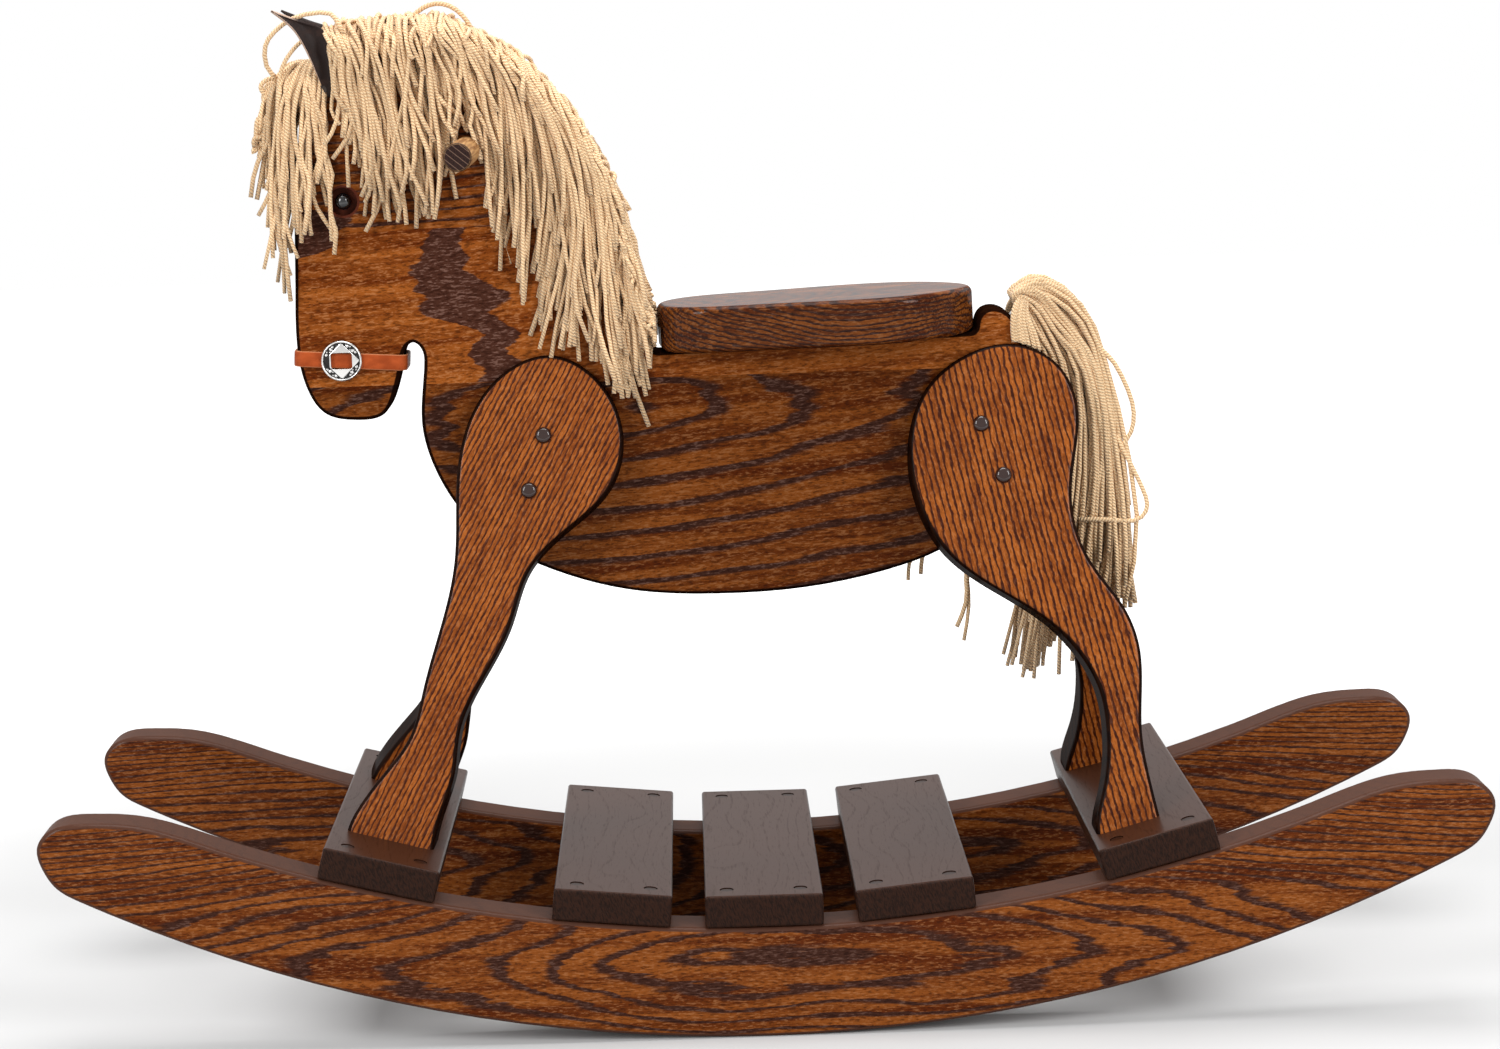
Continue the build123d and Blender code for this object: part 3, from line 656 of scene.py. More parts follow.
def handle_wood():
    """A pale dowel: fine streaks along its side, and a dark oiled end crossed by pale rays."""
    paint = Paint("handle wood", specular_ior_level=0.15)
    x, _, z = paint.place()
    streak = paint.noise((500, 18, 500), detail=3.0)
    side = paint.mix(streak.step(0.35, 0.65), srgb(118, 78, 42), srgb(178, 136, 88))
    ray = ((x * 0.64 + z * 0.77 + (streak - 0.5) * 0.0003) * 290).fraction()
    line = ray.step(0.0, 0.05) * (1 - ray.step(0.1, 0.16))
    pit = paint.noise((1400, 60, 1400))
    end = paint.mix(pit.step(0.4, 0.6), srgb(20, 8, 5), srgb(46, 24, 19))
    end = paint.mix(line * 0.5, end, srgb(160, 128, 108))
    flat = abs(paint.place("Normal")[1])
    color = paint.mix(flat.step(0.9, 0.97), side, end)
    rim = flat.step(0.1, 0.4) * (1 - flat.step(0.85, 0.97))
    color = paint.mix(rim * 0.85, color, srgb(30, 16, 11))
    return paint.finish(color, 0.5 + pit * 0.1, pit, 0.0001)


class FittingsOperator(Operator):
    """Finishes of the screws, tacks, staple and eyes"""

    bl_idname = "horse.fittings"
    bl_label = "Fittings"

    def execute(self, context):
        steel = plain("bright steel", (0.5, 0.48, 0.45, 1.0), 0.35, metallic=1.0)
        dress(steel, "leg_screws", "board_screws", "foot_screws", "noseband_brads", "tail_staple")
        dress(plain("blued tacks", (0.05, 0.04, 0.035, 1.0), 0.4, metallic=1.0), "ear_tacks")
        dress(plain("brass tacks", srgb(214, 176, 128), 0.5, metallic=1.0), "mane_tacks")
        eye = plain("eye glass", (0.003, 0.003, 0.004, 1.0), 0.03, vary=0.01, specular_ior_level=0.7)
        dress(eye, "eye_left", "eye_right")
        return {"FINISHED"}


class ManeOperator(Operator):
    """Strands of yarn that fall from the crest down both sides of the neck"""

    bl_idname = "horse.mane"
    bl_label = "Mane"

    def execute(self, context):
        for side, node, seed, loops in ((-1, "mane_left", 12, CREST_LOOPS), (1, "mane_right", 23, ())):
            piece = yarn_piece(node + "_yarn", *mane_paths(side, seed), seed, loops)
            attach(piece, "horse")
            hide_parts(node)
        return {"FINISHED"}


# The crest from the poll to the seat: distance along and height
CREST = lines("""
-289 655, -276 668, -258 679, -238 683.5, -220 684, -201 679, -183 669, -166 655, -150 636, -134 614,
-120 590, -109 566, -100 540, -89 498, -80 470
""")[0]
# Falls of yarn from the crest to the hem, from the ears to the seat
MANE_FALLS = np.array(lines("""
-285 683, -281 664, -278 645, -276 626, -280 609;
-270 688, -264 654, -260 622, -258 581, -260 547;
-248 689, -243 654, -238 615, -235 577, -231 549;
-219 689, -214 659, -211 627, -208 595, -212 553;
-211 689, -205 668, -199 648, -195 629, -195 612;
-203 688, -191 660, -181 628, -176 601, -176 563;
-190 682, -172 651, -166 613, -165 572, -170 528;
-177 675, -158 642, -151 597, -152 546, -158 491;
-162 667, -143 628, -134 577, -137 519, -148 461;
-143 650, -127 605, -120 557, -124 506, -132 457;
-127 634, -112 592, -107 544, -109 485, -92 428;
-115 614, -99 569, -93 518, -90 460, -80 405;
-100 588, -87 547, -83 505, -79 469, -77.5 432;
-90 560, -83 530, -78 502, -74 480, -70.5 459;
-84 525, -80 507, -76 490, -72 477, -68 466;
-79 503, -75.5 492, -72.5 483, -70 475, -67.5 467;
-75.5 487, -73.5 481, -71.5 476, -69.5 471.5, -67.5 467
"""))
CREST_LOOPS = lines("""
-229 -4 683, -226.5 -3 688, -220 -2 694, -210 -1 697.5, -199 -2 695, -190 -4 687, -185 -6 678
""")
HANDLE, HANDLE_CLEAR = np.array([-0.1915, 0.5975]), 0.0118  # its middle, and how near yarn passes
BEFORE_SEAT, SEAT_TOP = -0.0668, 0.5
CREST_SPOTS = 300
# The front leg's outer face: its top, how far out it is there, its slope and its rear edge
LEG_TOP, LEG_OUT, LEG_SPLAY, LEG_REAR = 0.456, 0.0242, 0.2217, -0.086
LEG_CLEAR = 0.462  # height below which yarn passes outside the leg
BESIDE_EAR = 0.0272  # how far out yarn lies where it passes an ear
LAYER_LOW, LAYER_STEP = 0.0022, 0.0029
# Painted shade: how much darker the yarn of each layer is, most for the innermost
LAYER_SHADE = np.array([0.42, 0.22, 0.07, 0.0])
LAYER_SHORT = np.array([0.12, 0.3, 0.58, 0.68])  # the most that strands stop short of the hem
MANE_LOCKS, MANE_SWAY = 1.6, 0.0064  # locks to a fall, and the widest wave of a strand
# Numbers of falls: the last beside the ear, those that sweep back, where strays begin, the last broad one
EAR_FALL, SWEEP_FALLS, STRAY_FALL, BROAD_FALL = 1.1, (5, 11), 7, 12


def mane_paths(side, seed, strands=430):
    """Splines between the falls. A strand starts under its neighbours on the crest, arches over the
    plank's edge, and lies in one of four layers on its side. Its place among the falls drifts from
    root to hem towards the middle of its lock, so strands cross, and it stops short of the hem by
    its own share. Returns the centre lines and a tone that is deeper in the inner layers, painted
    shade on the strands that lie under others."""
    rng = np.random.default_rng(seed)
    layers, last = len(LAYER_SHADE), len(MANE_FALLS) - 1
    run = run_along(np.swapaxes(MANE_FALLS[:, [0, 2]], 0, 1)).sum(axis=0)
    spread = (np.arange(strands) + rng.uniform(0, 1, strands)) / strands
    root = np.interp(spread * run[-1], run, np.arange(last + 1))
    layer = rng.integers(0, layers, strands)
    stray = rng.uniform(0, 1, strands) < np.where(root > STRAY_FALL, 0.2, 0.1)
    drift = rng.normal(0, 0.35, strands) * np.where(stray, 2.2, 1)
    drift += (np.round(root * MANE_LOCKS) / MANE_LOCKS - root) * rng.uniform(0, 0.9, strands)
    swept = (layer == layers - 1) & (root > SWEEP_FALLS[0]) & (root < SWEEP_FALLS[1])
    drift += np.where(swept, 0.6, 0)
    share = np.array([0, 0.3, 0.55, 0.8, 1])
    fall = blended(MANE_FALLS, np.clip(root[:, None] + drift[:, None] * share, 0, last))
    crest = along(CREST, np.linspace(0, 1, CREST_SPOTS))
    near = crest[np.argmin(((fall[:, :1] - crest) ** 2).sum(2), axis=1)]
    rise = fall[:, 0] - near
    level = ((layer + 1) / layers)[:, None]
    start = near + rise * 0.05
    arch = near + rise * np.maximum(level, 0.6)
    shoulder = fall[:, 0] * 0.66 + fall[:, 1] * 0.34 - rise * (1 - level) * 0.4
    flat = np.concatenate([np.stack([start, arch, shoulder], axis=1), fall[:, 1:]], axis=1)
    rest = HALF + LAYER_LOW + LAYER_STEP * layer
    rest = np.where(root < EAR_FALL, np.maximum(rest, BESIDE_EAR), rest)
    across = np.stack([-0.008 + 0 * rest, 0.003 + 0 * rest, rest - 0.001, rest, rest, rest, rest], axis=1)
    across[:, 3:] += rng.normal(0, 0.0008, (strands, 4))
    across[:, 6] += np.where(stray, 0.005, 0)
    flung = np.where(root < BROAD_FALL, 0.009, 0.004)
    flat[:, 5:, 0] += np.where(stray & (root > STRAY_FALL), flung, 0)[:, None]
    flat[:, 5] += rng.normal(0, 0.0025, (strands, 2)) * (1, 0.2)
    flat[:, 6] += rng.normal(0, 0.005, (strands, 2)) * (1, 0.4)
    controls = np.stack([flat[..., 0], side * across, flat[..., 1]], axis=2)
    reach = 1.02 - LAYER_SHORT[layer] * rng.uniform(0, 1, strands) ** 0.95
    paths = sway(through(controls, STATIONS, np.minimum(reach, 1)), rng, MANE_SWAY)
    away = paths[:, :, [0, 2]] - HANDLE
    far = np.linalg.norm(away, axis=2, keepdims=True)
    paths[:, :, [0, 2]] = HANDLE + away / far * np.maximum(far, HANDLE_CLEAR)
    x, y, z = np.moveaxis(paths, 2, 0)
    leg = LEG_OUT + (LEG_TOP - z) * LEG_SPLAY + LAYER_LOW * layer[:, None]
    beside = (z < LEG_CLEAR) & (x < LEG_REAR)
    paths[:, :, 1] = np.where(beside, side * np.maximum(np.abs(y), leg), y)
    paths[:, :, 0] = np.where(z < SEAT_TOP, np.minimum(x, BEFORE_SEAT), x)
    return paths, LAYER_SHADE[layer]


class ForelockOperator(Operator):
    """Strands of yarn that fall over the forehead and round the face"""

    bl_idname = "horse.forelock"
    bl_label = "Forelock"

    def execute(self, context):
        piece = yarn_piece("forelock_yarn", *forelock_paths(37), 37, POLL_LOOPS)
        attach(piece, "horse")
        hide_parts("forelock")
        return {"FINISHED"}


# Falls from the poll round the left of the face to its front
FACE_FALLS = np.array(lines("""
-289 -8 658, -285 -21 639, -285 -21.5 607, -285 -21.5 575, -284 -21.5 542;
-294 -8 659, -296 -22 639, -296 -23 607, -295 -23.5 575, -294 -23.5 546;
-298 -7 661, -305 -21 643, -310 -25 608, -310 -26 576, -309 -26 545;
-303 -6 661, -315 -18 646, -318 -24 614, -319 -25 570, -321 -26 506;
-306 -4 661, -319 -12 649, -325 -18 624, -329 -21 592, -335 -22 560;
-310 -3 658, -323 -6 646, -330 -10 627, -335 -12 615, -339 -14 604;
-311 0 655, -321 0 639, -323 0 597, -322 0 549, -322 0 486
"""))
POLL_LOOPS = lines("""
-271.2 -24 678.4, -276 -22 688.2, -283 -19 693.4, -300 -20 692, -313 -20 686, -322 -20 678,
-326 -19 669, -325 -16 657, -318 -12 649;
-314.7 -8 648.2, -321.8 -10 650.2, -328.3 -10 648.3, -331 -10 644.4, -329.1 -10 640.1,
-324.5 -10 638.2, -318.9 -9 636.9;
-297 -16 676, -303 -17 673, -311 -18 664, -316 -18 654, -318 -18 643
""")
BESIDE_EYE = -0.2862  # how far back a strand may hang level with an eye
FACE_LOCKS, FACE_SWAY, FACE_STEP = 1.4, 0.0044, 0.0028
FACE_STRAY = (0.0032, 0.0006, 0.008)


def forelock_paths(seed, strands=112):
    """Splines between the falls round the face, the right side mirrored from the left, in two layers.
    Strands gather into locks towards their ends and pass the eyes on the front."""
    rng = np.random.default_rng(seed)
    falls = np.concatenate([FACE_FALLS, FACE_FALLS[-2::-1] * (1, -1, 1)])
    last = len(falls) - 1
    root = last * (np.arange(strands) + rng.uniform(0, 1, strands)) / strands
    drift = (np.round(root * FACE_LOCKS) / FACE_LOCKS - root) * rng.uniform(0.3, 1, strands)
    drift += rng.normal(0, 0.25, strands)
    place = np.clip(root[:, None] + drift[:, None] * np.array([0, 0.3, 0.6, 0.8, 1]), 0, last)
    controls = blended(falls, place)
    turn = np.pi * place / last
    sunk = rng.integers(0, 2, strands)
    inward = FACE_STEP * sunk[:, None] * np.array([0.3, 1, 1, 1, 1])
    controls += inward[..., None] * np.stack([np.sin(turn), np.cos(turn), 0 * turn], axis=2)
    controls[:, 2:] += rng.normal(0, 1, (strands, 3, 3)) * FACE_STRAY
    reach = 1 - 0.3 * rng.uniform(0, 1, strands) ** 1.8
    paths = sway(through(controls, STATIONS, reach), rng, FACE_SWAY)
    past_eye = 0.8 * np.maximum(0, np.abs(paths[..., 2] - EYE[1]) - EYE[2])
    paths[..., 0] = np.minimum(paths[..., 0], BESIDE_EYE + past_eye)
    # The inner, sunk layer takes a deeper tone: painted shade under the outer strands.
    return paths, 0.5 * sunk


class TailOperator(Operator):
    """A hank of yarn that hangs from the staple behind the rump"""

    bl_idname = "horse.tail"
    bl_label = "Tail"

    def execute(self, context):
        piece = yarn_piece("tail_yarn", *tail_paths(53), 53, TAIL_LOOPS)
        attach(piece, "tail")
        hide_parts("tail")
        return {"FINISHED"}


# Falls of the tail from the staple's crown to the hem, from the rump outwards
TAIL_FALLS = np.array(lines("""
189 481, 185 481, 188.5 476.5, 192.5 465.5, 196.5 452, 200.5 425, 200.5 362, 190 296, 178 222;
189 481, 184.5 483, 192.5 479, 200.5 464.5, 208 450, 216.5 425, 215.5 362, 207 292, 197 210;
189 481, 183.8 485, 197 482.5, 209 466, 218.5 453.5, 232 429, 236 366, 228 300, 219 228;
189 481, 183 485.5, 197.5 489.5, 212 477.5, 226 459, 241 428, 249 372, 250 312, 246 252;
189 481, 182.5 485.5, 188 491.5, 201.5 496, 223.5 484, 242.5 450, 256.5 385, 264 318, 266 262
"""))
# Half the width of the hank at each point of a fall
TAIL_BROAD = np.array([8, 11.5, 12.5, 13.5, 13.5, 13.5, 13.5, 20, 24]) / 1000
TAIL_SWAY = 0.0045
# Short falls from the crown down the left of the rump
RUMP_FALLS = np.array(lines("""
188 -11 486, 182.9 -17 478, 181.1 -19.4 470.5, 180.8 -19.6 461.2, 181.5 -19.8 454.5;
190 -11 485, 186.2 -17 477, 185.2 -19.4 468, 185.8 -19.6 461, 186.8 -19.8 453.8;
192 -11 485, 188.8 -16.5 476.5, 188.7 -19 467.6, 190 -19.4 459.6, 191.5 -19.8 451.8;
193 -11 484, 192 -16 474, 195 -18.5 465, 198 -19 457.5, 200.5 -19.4 447.8
"""))
TAIL_LOOPS = lines("""
236 -11 458, 244.4 -13 446, 252.9 -14 436.5, 262.3 -14 417, 266 -14 401.5, 264 -14 388,
257.2 -13 377.6, 250 -12 366;
254 -12 386, 257.6 -14 377, 267 -15 357.5, 273.6 -16 341.7, 273.5 -17 332, 264.8 -18 325.5,
247.5 -19 327, 226 -19 327.7;
204 -3 405, 197 -2 366, 177 -1 335, 157 0 314, 148 0 290, 147.8 0 270, 140.6 0 250;
205 4 405, 199 4 362, 180 4 332, 158 3 309, 149 2 288, 149.7 1 268, 145.5 0 240;
204 2 400, 198 4 368, 181 8 343, 150 10 317.5, 131 10 306.8, 115 10 300.4, 108.5 10 295.5,
107.3 10 283;
205 6 400, 199 8 370, 183 12 346, 153 13.5 319.5, 135 13.5 308, 122 13.5 302.5, 117.8 13.5 298,
116.6 13.5 286.5
""")


def tail_paths(seed, strands=240, short=24):
    """Splines between the falls, from one edge of the hank to the other across the horse, and short
    strands that cover the rump on both sides."""
    rng = np.random.default_rng(seed)
    last, points = len(TAIL_FALLS) - 1, len(TAIL_BROAD)
    root = rng.uniform(0, last, strands)
    broad = rng.uniform(-1, 1, strands)
    drift = rng.normal(0, 0.4, (strands, 1)) * np.linspace(0, 1, points)
    flat = blended(TAIL_FALLS, np.clip(root[:, None] + drift, 0, last))
    slide = np.clip(broad[:, None] + rng.normal(0, 0.15, (strands, points)), -1, 1)
    controls = np.stack([flat[..., 0], slide * TAIL_BROAD, flat[..., 1]], axis=2)
    controls[:, -1, 0] += rng.normal(0, 0.005, strands)
    reach = 1 - 0.18 * rng.uniform(0, 1, strands) ** 1.6
    hank = sway(through(controls, STATIONS, reach), rng, TAIL_SWAY)
    last = len(RUMP_FALLS) - 1
    place = np.repeat(np.linspace(0, last, short // 2), 2) + rng.normal(0, 0.08, short)
    cover = blended(RUMP_FALLS, np.clip(place, 0, last)[:, None] + np.zeros(RUMP_FALLS.shape[1]))
    cover[::2, :, 1] *= -1
    # Strands in the middle of the hank take a deeper tone, painted shade inside the hank; the rump's short
    # strands take a fixed tone.
    tones = np.concatenate([0.1 + 0.35 * (1 - np.abs(broad)), np.full(short, 0.3)])
    return np.concatenate([hank, through(cover, STATIONS)]), tones


class EarOperator(Operator):
    """Curled leather leaves tacked to the sides of the poll"""

    bl_idname = "horse.ears"
    bl_label = "Ears"

    def execute(self, context):
        leathers = ear_leather(), cut_leather()
        for side, node in ((1, "ear_left"), (-1, "ear_right")):
            points = ear_points(*EAR_GRID) * (1, side, 1)
            faces = grid_faces(*EAR_GRID)
            faces = faces[:, ::-1] if side > 0 else faces
            piece = new_piece(node + "_leaf", points, faces.tolist(), *leathers)
            wall = piece.modifiers.new("thickness", "SOLIDIFY")
            wall.thickness = EAR_THICK
            wall.offset = 0
            wall.material_offset_rim = 1
            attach(piece, "horse")
            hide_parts(node)
        return {"FINISHED"}


EAR_GRID = (22, 11)  # rows and columns of points
EAR_THICK, EAR_BOW = 0.0017, 0.0035
# The front and back edges of the left ear from foot to tip
EAR_EDGES = lines("""
-285 -19.8 636.5, -289.9 -21.5 648.6, -294.9 -24 662.9, -300.6 -26.2 675.8, -307.3 -27.6 685.5,
-319.2 -28.8 695.5;
-281.5 -20 636.5, -279.5 -20.6 647, -278.5 -21 661, -284.8 -21.4 680.5, -295 -22.8 686.4,
-318.8 -28.8 695.7
""")
# The foot of the ear, and the way from there to its tip
EAR_FOOT = (-0.2832, 0.6365)
EAR_LINE = (-0.0358, 0.0592)
LEATHER_DEPTH = 0.0002


def ear_points(rows, columns):
    """A surface ruled between the ear's front and back edges and bowed towards the head by a sine
    across it, deepest halfway up."""
    front, back = [through(edge[None], rows)[0][:, None] for edge in EAR_EDGES]
    v = np.linspace(0, 1, columns)[None, :, None]
    points = front + (back - front) * v
    up = np.linspace(0, 1, rows)[:, None]
    bow = np.sin(np.pi * v[..., 0]) * np.sin(np.pi * np.clip(up * 1.15 - 0.15, 0, 1))
    points[..., 1] += EAR_BOW * bow
    return points


def ear_leather():
    """Dark leather with fine creases along the leaf and scuffed grey wear."""
    paint = Paint("ear leather", specular_ior_level=0.15)
    x, y, z = paint.place()
    crease = paint.noise((900, 900, 160), (x + z * 0.55, y, z - x), detail=3.0)
    scuff = paint.noise((130, 130, 130), detail=4.0).step(0.52, 0.72)
    color = paint.mix(scuff * 0.5 + crease * 0.3, srgb(24, 14, 11), srgb(56, 40, 35))
    return paint.finish(color, 0.5 + scuff * 0.2, crease, LEATHER_DEPTH)


def cut_leather():
    """The cut edge of the ear: bare and pale along its front, dyed dark along its back and top,
    which lie on the far side of a line from foot to tip."""
    paint = Paint("cut leather", specular_ior_level=0.15)
    x, _, z = paint.place()
    behind = ((x - EAR_FOOT[0]) * EAR_LINE[1] - (z - EAR_FOOT[1]) * EAR_LINE[0]).step(0.0005, 0.0008)
    fluff = paint.noise((900, 900, 900), detail=3.0)
    color = paint.mix(fluff, srgb(150, 124, 108), srgb(198, 172, 154))
    color = paint.mix(behind, color, srgb(34, 22, 19))
    return paint.finish(color, 0.8 - behind * 0.2, fluff, LEATHER_DEPTH / 2)


class NosebandOperator(Operator):
    """A leather strap round the muzzle"""

    bl_idname = "horse.noseband"
    bl_label = "Noseband"

    def execute(self, context):
        points = strap_points()
        rows, columns = points.shape[:2]
        faces = grid_faces(rows + 1, columns, wrap=True) % (rows * columns)
        piece = new_piece("noseband_strap", points, faces.tolist(), strap_leather())
        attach(piece, "horse")
        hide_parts("noseband")
        return {"FINISHED"}


STRAP_ENDS = np.array([(-0.3175, 0.4577), (-0.2390, 0.4523)])
STRAP_WIDE, STRAP_THICK = 0.011, 0.0022


def strap_points(corner=0.0072, steps=9, columns=16):
    """A rounded flat section carried round a loop with rounded corners. The loop is the corner's
    centre plus a turning radius, the section signed powers of a cosine and a sine."""
    way = STRAP_ENDS[1] - STRAP_ENDS[0]
    half = np.linalg.norm(way) / 2
    way = way / (2 * half)
    turn = (np.arange(4)[:, None] * np.pi / 2 + np.linspace(0, np.pi / 2, steps)).ravel()
    sign = np.repeat([(1, 1), (-1, 1), (-1, -1), (1, -1)], steps, axis=0)
    aim = np.stack([np.cos(turn), np.sin(turn)], axis=1)
    reach = np.array([half, HALF + STRAP_THICK])
    loop = sign * (reach - corner) + aim * (corner - STRAP_THICK / 2)
    out, up = circle(columns)[1].T
    tall = np.sign(up) * np.abs(up) ** 0.35 * STRAP_WIDE / 2
    thick = np.sign(out) * np.abs(out) ** 0.45 * STRAP_THICK / 2
    flat = loop[:, None] + aim[:, None] * thick[:, None]
    middle = STRAP_ENDS.mean(axis=0)
    x = middle[0] + flat[..., 0] * way[0] - tall * way[1]
    z = middle[1] + flat[..., 0] * way[1] + tall * way[0]
    return np.stack([x, flat[..., 1], z], axis=2)


def strap_leather():
    """Tan leather with a tight grain, darker where it bends round the muzzle, as darker leather and painted
    shade on the turn, and pale along its edges.
    """
    paint = Paint("strap leather", specular_ior_level=0.1)
    x, y, z = paint.place()
    grain = paint.noise((1500, 1500, 1500), detail=3.0)
    cloud = paint.noise((90, 90, 160), detail=3.0)
    (left, low), (long, rise) = STRAP_ENDS[0], STRAP_ENDS[1] - STRAP_ENDS[0]
    off = abs(z - (x - left) * (rise / long) - low)
    trim = off.step(0.0046, 0.0054)
    # Darker leather and painted shade where the strap turns round the front and back of the muzzle.
    bent = 1 - abs(y).step(HALF - 0.004, HALF + 0.0005)
    color = paint.mix(cloud.step(0.3, 0.7), srgb(146, 62, 24), srgb(176, 80, 36))
    color = paint.mix(bent * 0.6 + grain * 0.15, color, srgb(94, 38, 18))
    color = paint.mix(trim * 0.55, color, srgb(206, 146, 104))
    return paint.finish(color, 0.42 + grain * 0.2, grain, LEATHER_DEPTH * 0.6)


class ConchoOperator(Operator):
    """Engraved metal discs that the noseband shows through"""

    bl_idname = "horse.conchos"
    bl_label = "Conchos"

    def execute(self, context):
        metal = concho_metal()
        for side, node in ((1, "concho_left"), (-1, "concho_right")):
            points, tarnish_and_shade = concho_points()
            rows, columns = tarnish_and_shade.shape
            faces = grid_faces(rows + 1, columns, wrap=True) % (rows * columns)
            faces = faces if side > 0 else faces[:, ::-1]
            piece = new_piece(node + "_disc", points * (1, side, 1), faces.tolist(), metal)
            depth = piece.data.attributes.new("tarnish_and_shade", "FLOAT", "POINT")
            depth.data.foreach_set("value", tarnish_and_shade.ravel())
            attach(piece, "horse")
            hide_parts(node)
        return {"FINISHED"}


CONCHO = np.array([-0.284, 0.4554])
CONCHO_RADIUS = 0.014
WINDOW = np.array([0.0074, 0.0057])  # half its length and half its height
DIAMOND, INNER = 0.93, 0.86  # shares of the radius: the diamond's corners, and the rim's inner edge


def ridge(value, middle, width):
    """A bell curve over the value's distance from the middle."""
    return np.exp(-(((value - middle) / width) ** 2))


def concho_points(rows=34, columns=144):
    """Rings from the window's edge to the rim, lifted by a height field: a dome, a raised rim with a
    groove inside it, a raised diamond round the window, and leaves cut between diamond and groove."""
    turn, aim = circle(columns)
    edge = ((np.abs(aim) / WINDOW) ** 8).sum(axis=1) ** (-1 / 8)
    share = np.linspace(0, 1, rows)[:, None]
    radius = edge + (CONCHO_RADIUS - edge) * share
    far = radius / CONCHO_RADIUS
    diamond = (np.abs(radius[..., None] * aim) / CONCHO_RADIUS).sum(axis=2)
    rim, groove = ridge(far, 0.945, 0.035), ridge(far, 0.875, 0.02)
    field = 1 / (1 + np.exp((diamond - DIAMOND) / 0.02))
    outline = ridge(diamond, DIAMOND, 0.03) * (far < INNER)
    # Painted shade: the ground beside the window is darkened, more to the left of the window than to the
    # right.
    side = np.clip((np.abs(radius * aim[:, 0]) - WINDOW[0] - 0.0004) / 0.001, 0, 1) * field
    leaf = np.abs(np.sin(6 * turn + 9 * far)) * np.abs(np.sin(14 * turn - 7 * far)) ** 0.5
    ground = (1 - field) * (far < INNER)
    height = 0.0016 + 0.0006 * (1 - far**2) + 0.0006 * rim + 0.0004 * field
    height += (ground * (leaf * 0.0006 - 0.0002)) - 0.0004 * groove - 0.0003 * outline
    tarnish_and_shade = ground * (1.15 - 1.2 * leaf) + groove + outline * 0.8
    tarnish_and_shade = np.clip(tarnish_and_shade + side * (0.75 - 0.5 * np.sign(aim[:, 0])), 0, 1)
    radius = np.concatenate([radius[:1], radius, radius[-1:]])
    height = np.concatenate([0 * height[:1], height, 0 * height[-1:]])
    tarnish_and_shade = np.concatenate([tarnish_and_shade[:1] + 0.6, tarnish_and_shade, tarnish_and_shade[-1:] + 0.6])
    flat = CONCHO + radius[..., None] * aim
    y = -(HALF + STRAP_THICK + 0.0001 + height)
    return np.stack([flat[..., 0], y, flat[..., 1]], axis=2), tarnish_and_shade


def concho_metal():
    """Bright nickel, blackened where it is cut away, and darker to the left of the window than to the right
    as painted shade.
    """
    paint = Paint("nickel")
    mottle = paint.noise((700, 700, 700), detail=3.0)
    dull = (paint.attribute("tarnish_and_shade") + (mottle - 0.5) * 0.3).step(0.3, 0.7)
    color = paint.mix(dull, (0.6, 0.59, 0.57, 1.0), (0.012, 0.01, 0.009, 1.0))
    paint.put("Metallic", 1 - dull * 0.5)
    return paint.finish(color, 0.2 + dull * 0.4 + mottle * 0.12, mottle, 0.00003)


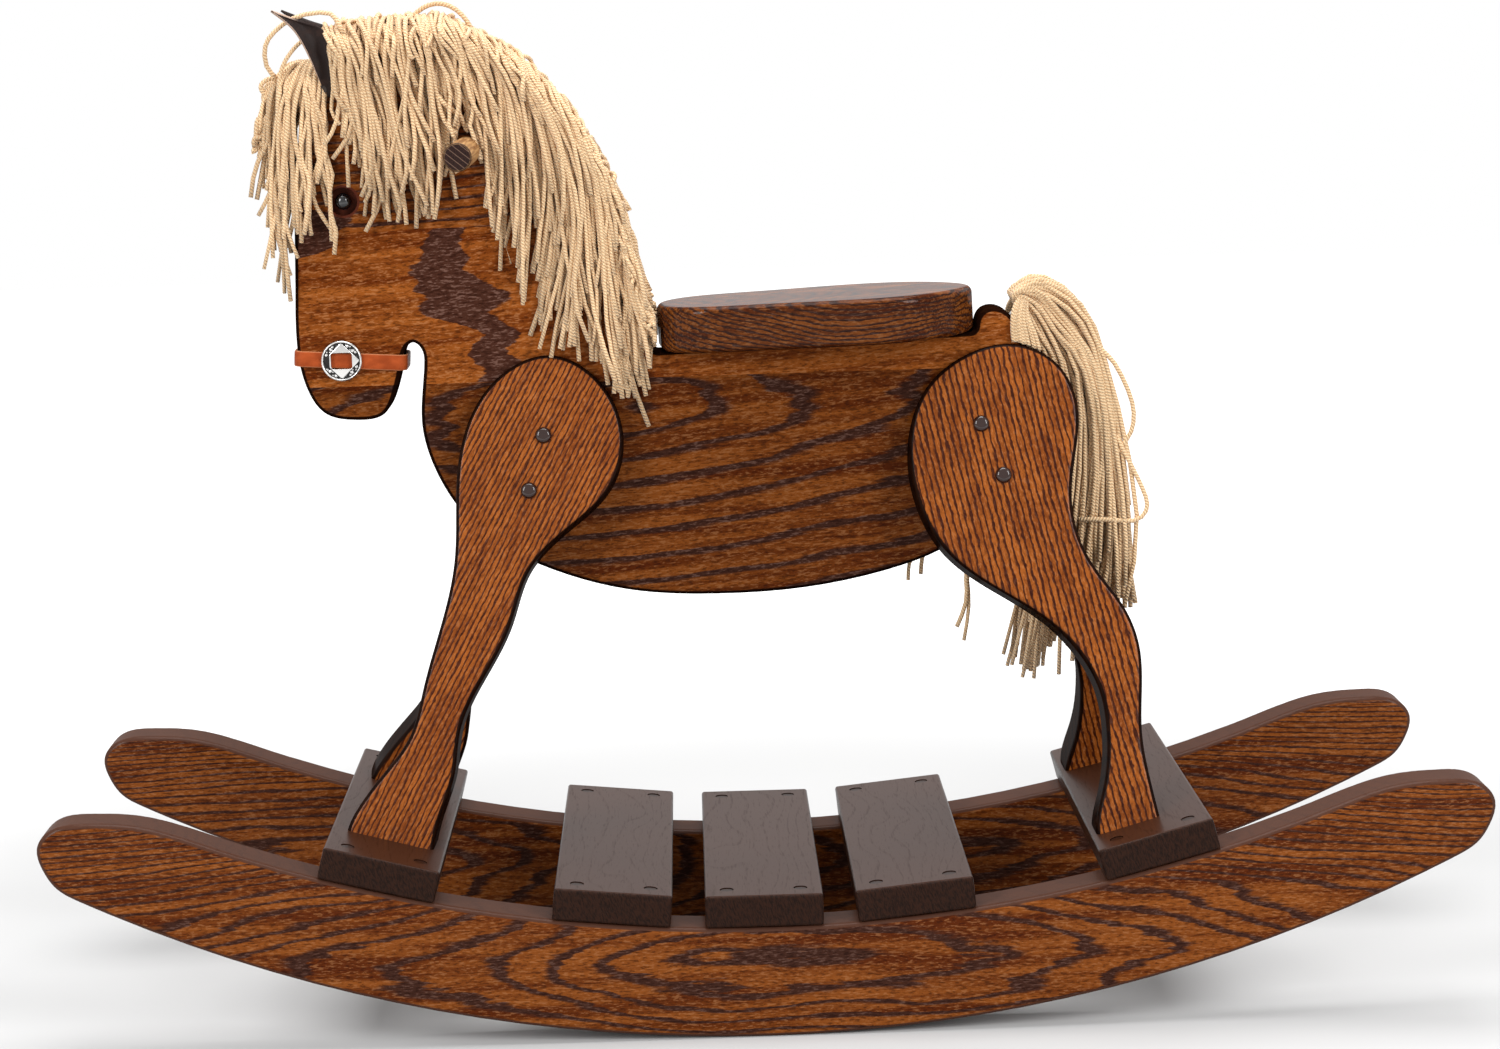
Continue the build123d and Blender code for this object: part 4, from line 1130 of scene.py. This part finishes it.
class TapeOperator(Operator):
    """The cloth tape along the crest that the mane is sewn to"""

    bl_idname = "horse.tape"
    bl_label = "Mane Tape"

    def execute(self, context):
        rows, columns = TAPE_GRID
        line = along(CREST, np.linspace(*TAPE_ENDS, rows))
        way = heading(line[None])[0]
        line = line + np.stack([-way[:, 1], way[:, 0]], axis=1) * TAPE_LIFT
        broad = np.linspace(-0.012, 0.012, columns)
        points = np.stack(np.broadcast_arrays(line[:, :1], broad, line[:, 1:]), axis=2)
        faces = grid_faces(rows, columns)[:, ::-1].tolist()
        piece = new_piece("mane_tape_cloth", points, faces, tape_cloth())
        wall = piece.modifiers.new("thickness", "SOLIDIFY")
        wall.thickness = TAPE_THICK
        wall.offset = 0
        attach(piece, "horse")
        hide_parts("mane_tape")
        return {"FINISHED"}


TAPE_GRID = (60, 9)  # rows and columns of points
TAPE_ENDS = (0.06, 0.97)  # shares of the crest's length
TAPE_LIFT, TAPE_THICK, TAPE_RIB = 0.0009, 0.0012, 0.0012


def tape_cloth():
    """Twill tape: diagonal ribs with a fine thread noise."""
    paint = Paint("tape cloth", roughness=0.9, specular_ior_level=0.1)
    x, y, z = paint.place()
    rib = ((x * 0.7 - z * 0.7 + y) * (math.tau / TAPE_RIB)).sine() * 0.5 + 0.5
    thread = paint.noise((2500, 2500, 2500))
    color = paint.mix(rib * 0.5 + thread * 0.5, srgb(150, 118, 80), srgb(206, 174, 132))
    return paint.finish(color, None, rib, 0.0002)


class HorsePanel(Panel):
    """Lists the steps that dress the rocking horse"""

    bl_idname = "HORSE_PT_looks"
    bl_label = "Rocking Horse"
    bl_space_type = "VIEW_3D"
    bl_region_type = "UI"
    bl_category = "Rocking Horse"

    def draw(self, context):
        for step in STEPS:
            self.layout.operator(step.bl_idname)
        for group in (context.scene.horse_wood, context.scene.horse_yarn, context.scene.horse_stage):
            for key in group.bl_rna.properties.keys()[2:]:
                self.layout.prop(group, key)


STEPS = (
    StageOperator, WoodOperator, FittingsOperator, EarOperator, NosebandOperator, ConchoOperator,
    TapeOperator, ManeOperator, ForelockOperator, TailOperator,
)
GROUPS = {"horse_wood": HorseWood, "horse_yarn": HorseYarn, "horse_stage": HorseStage}


def register():
    for kind in (*GROUPS.values(), *STEPS, HorsePanel):
        bpy.utils.register_class(kind)
    for name, kind in GROUPS.items():
        setattr(bpy.types.Scene, name, bpy.props.PointerProperty(type=kind))


def unregister():
    for name in GROUPS:
        delattr(bpy.types.Scene, name)
    for kind in reversed((*GROUPS.values(), *STEPS, HorsePanel)):
        bpy.utils.unregister_class(kind)


def main():
    register()
    yarn_material()
    for step in STEPS:
        family, name = step.bl_idname.split(".")
        getattr(getattr(bpy.ops, family), name)()


if __name__ == "__main__":
    main()
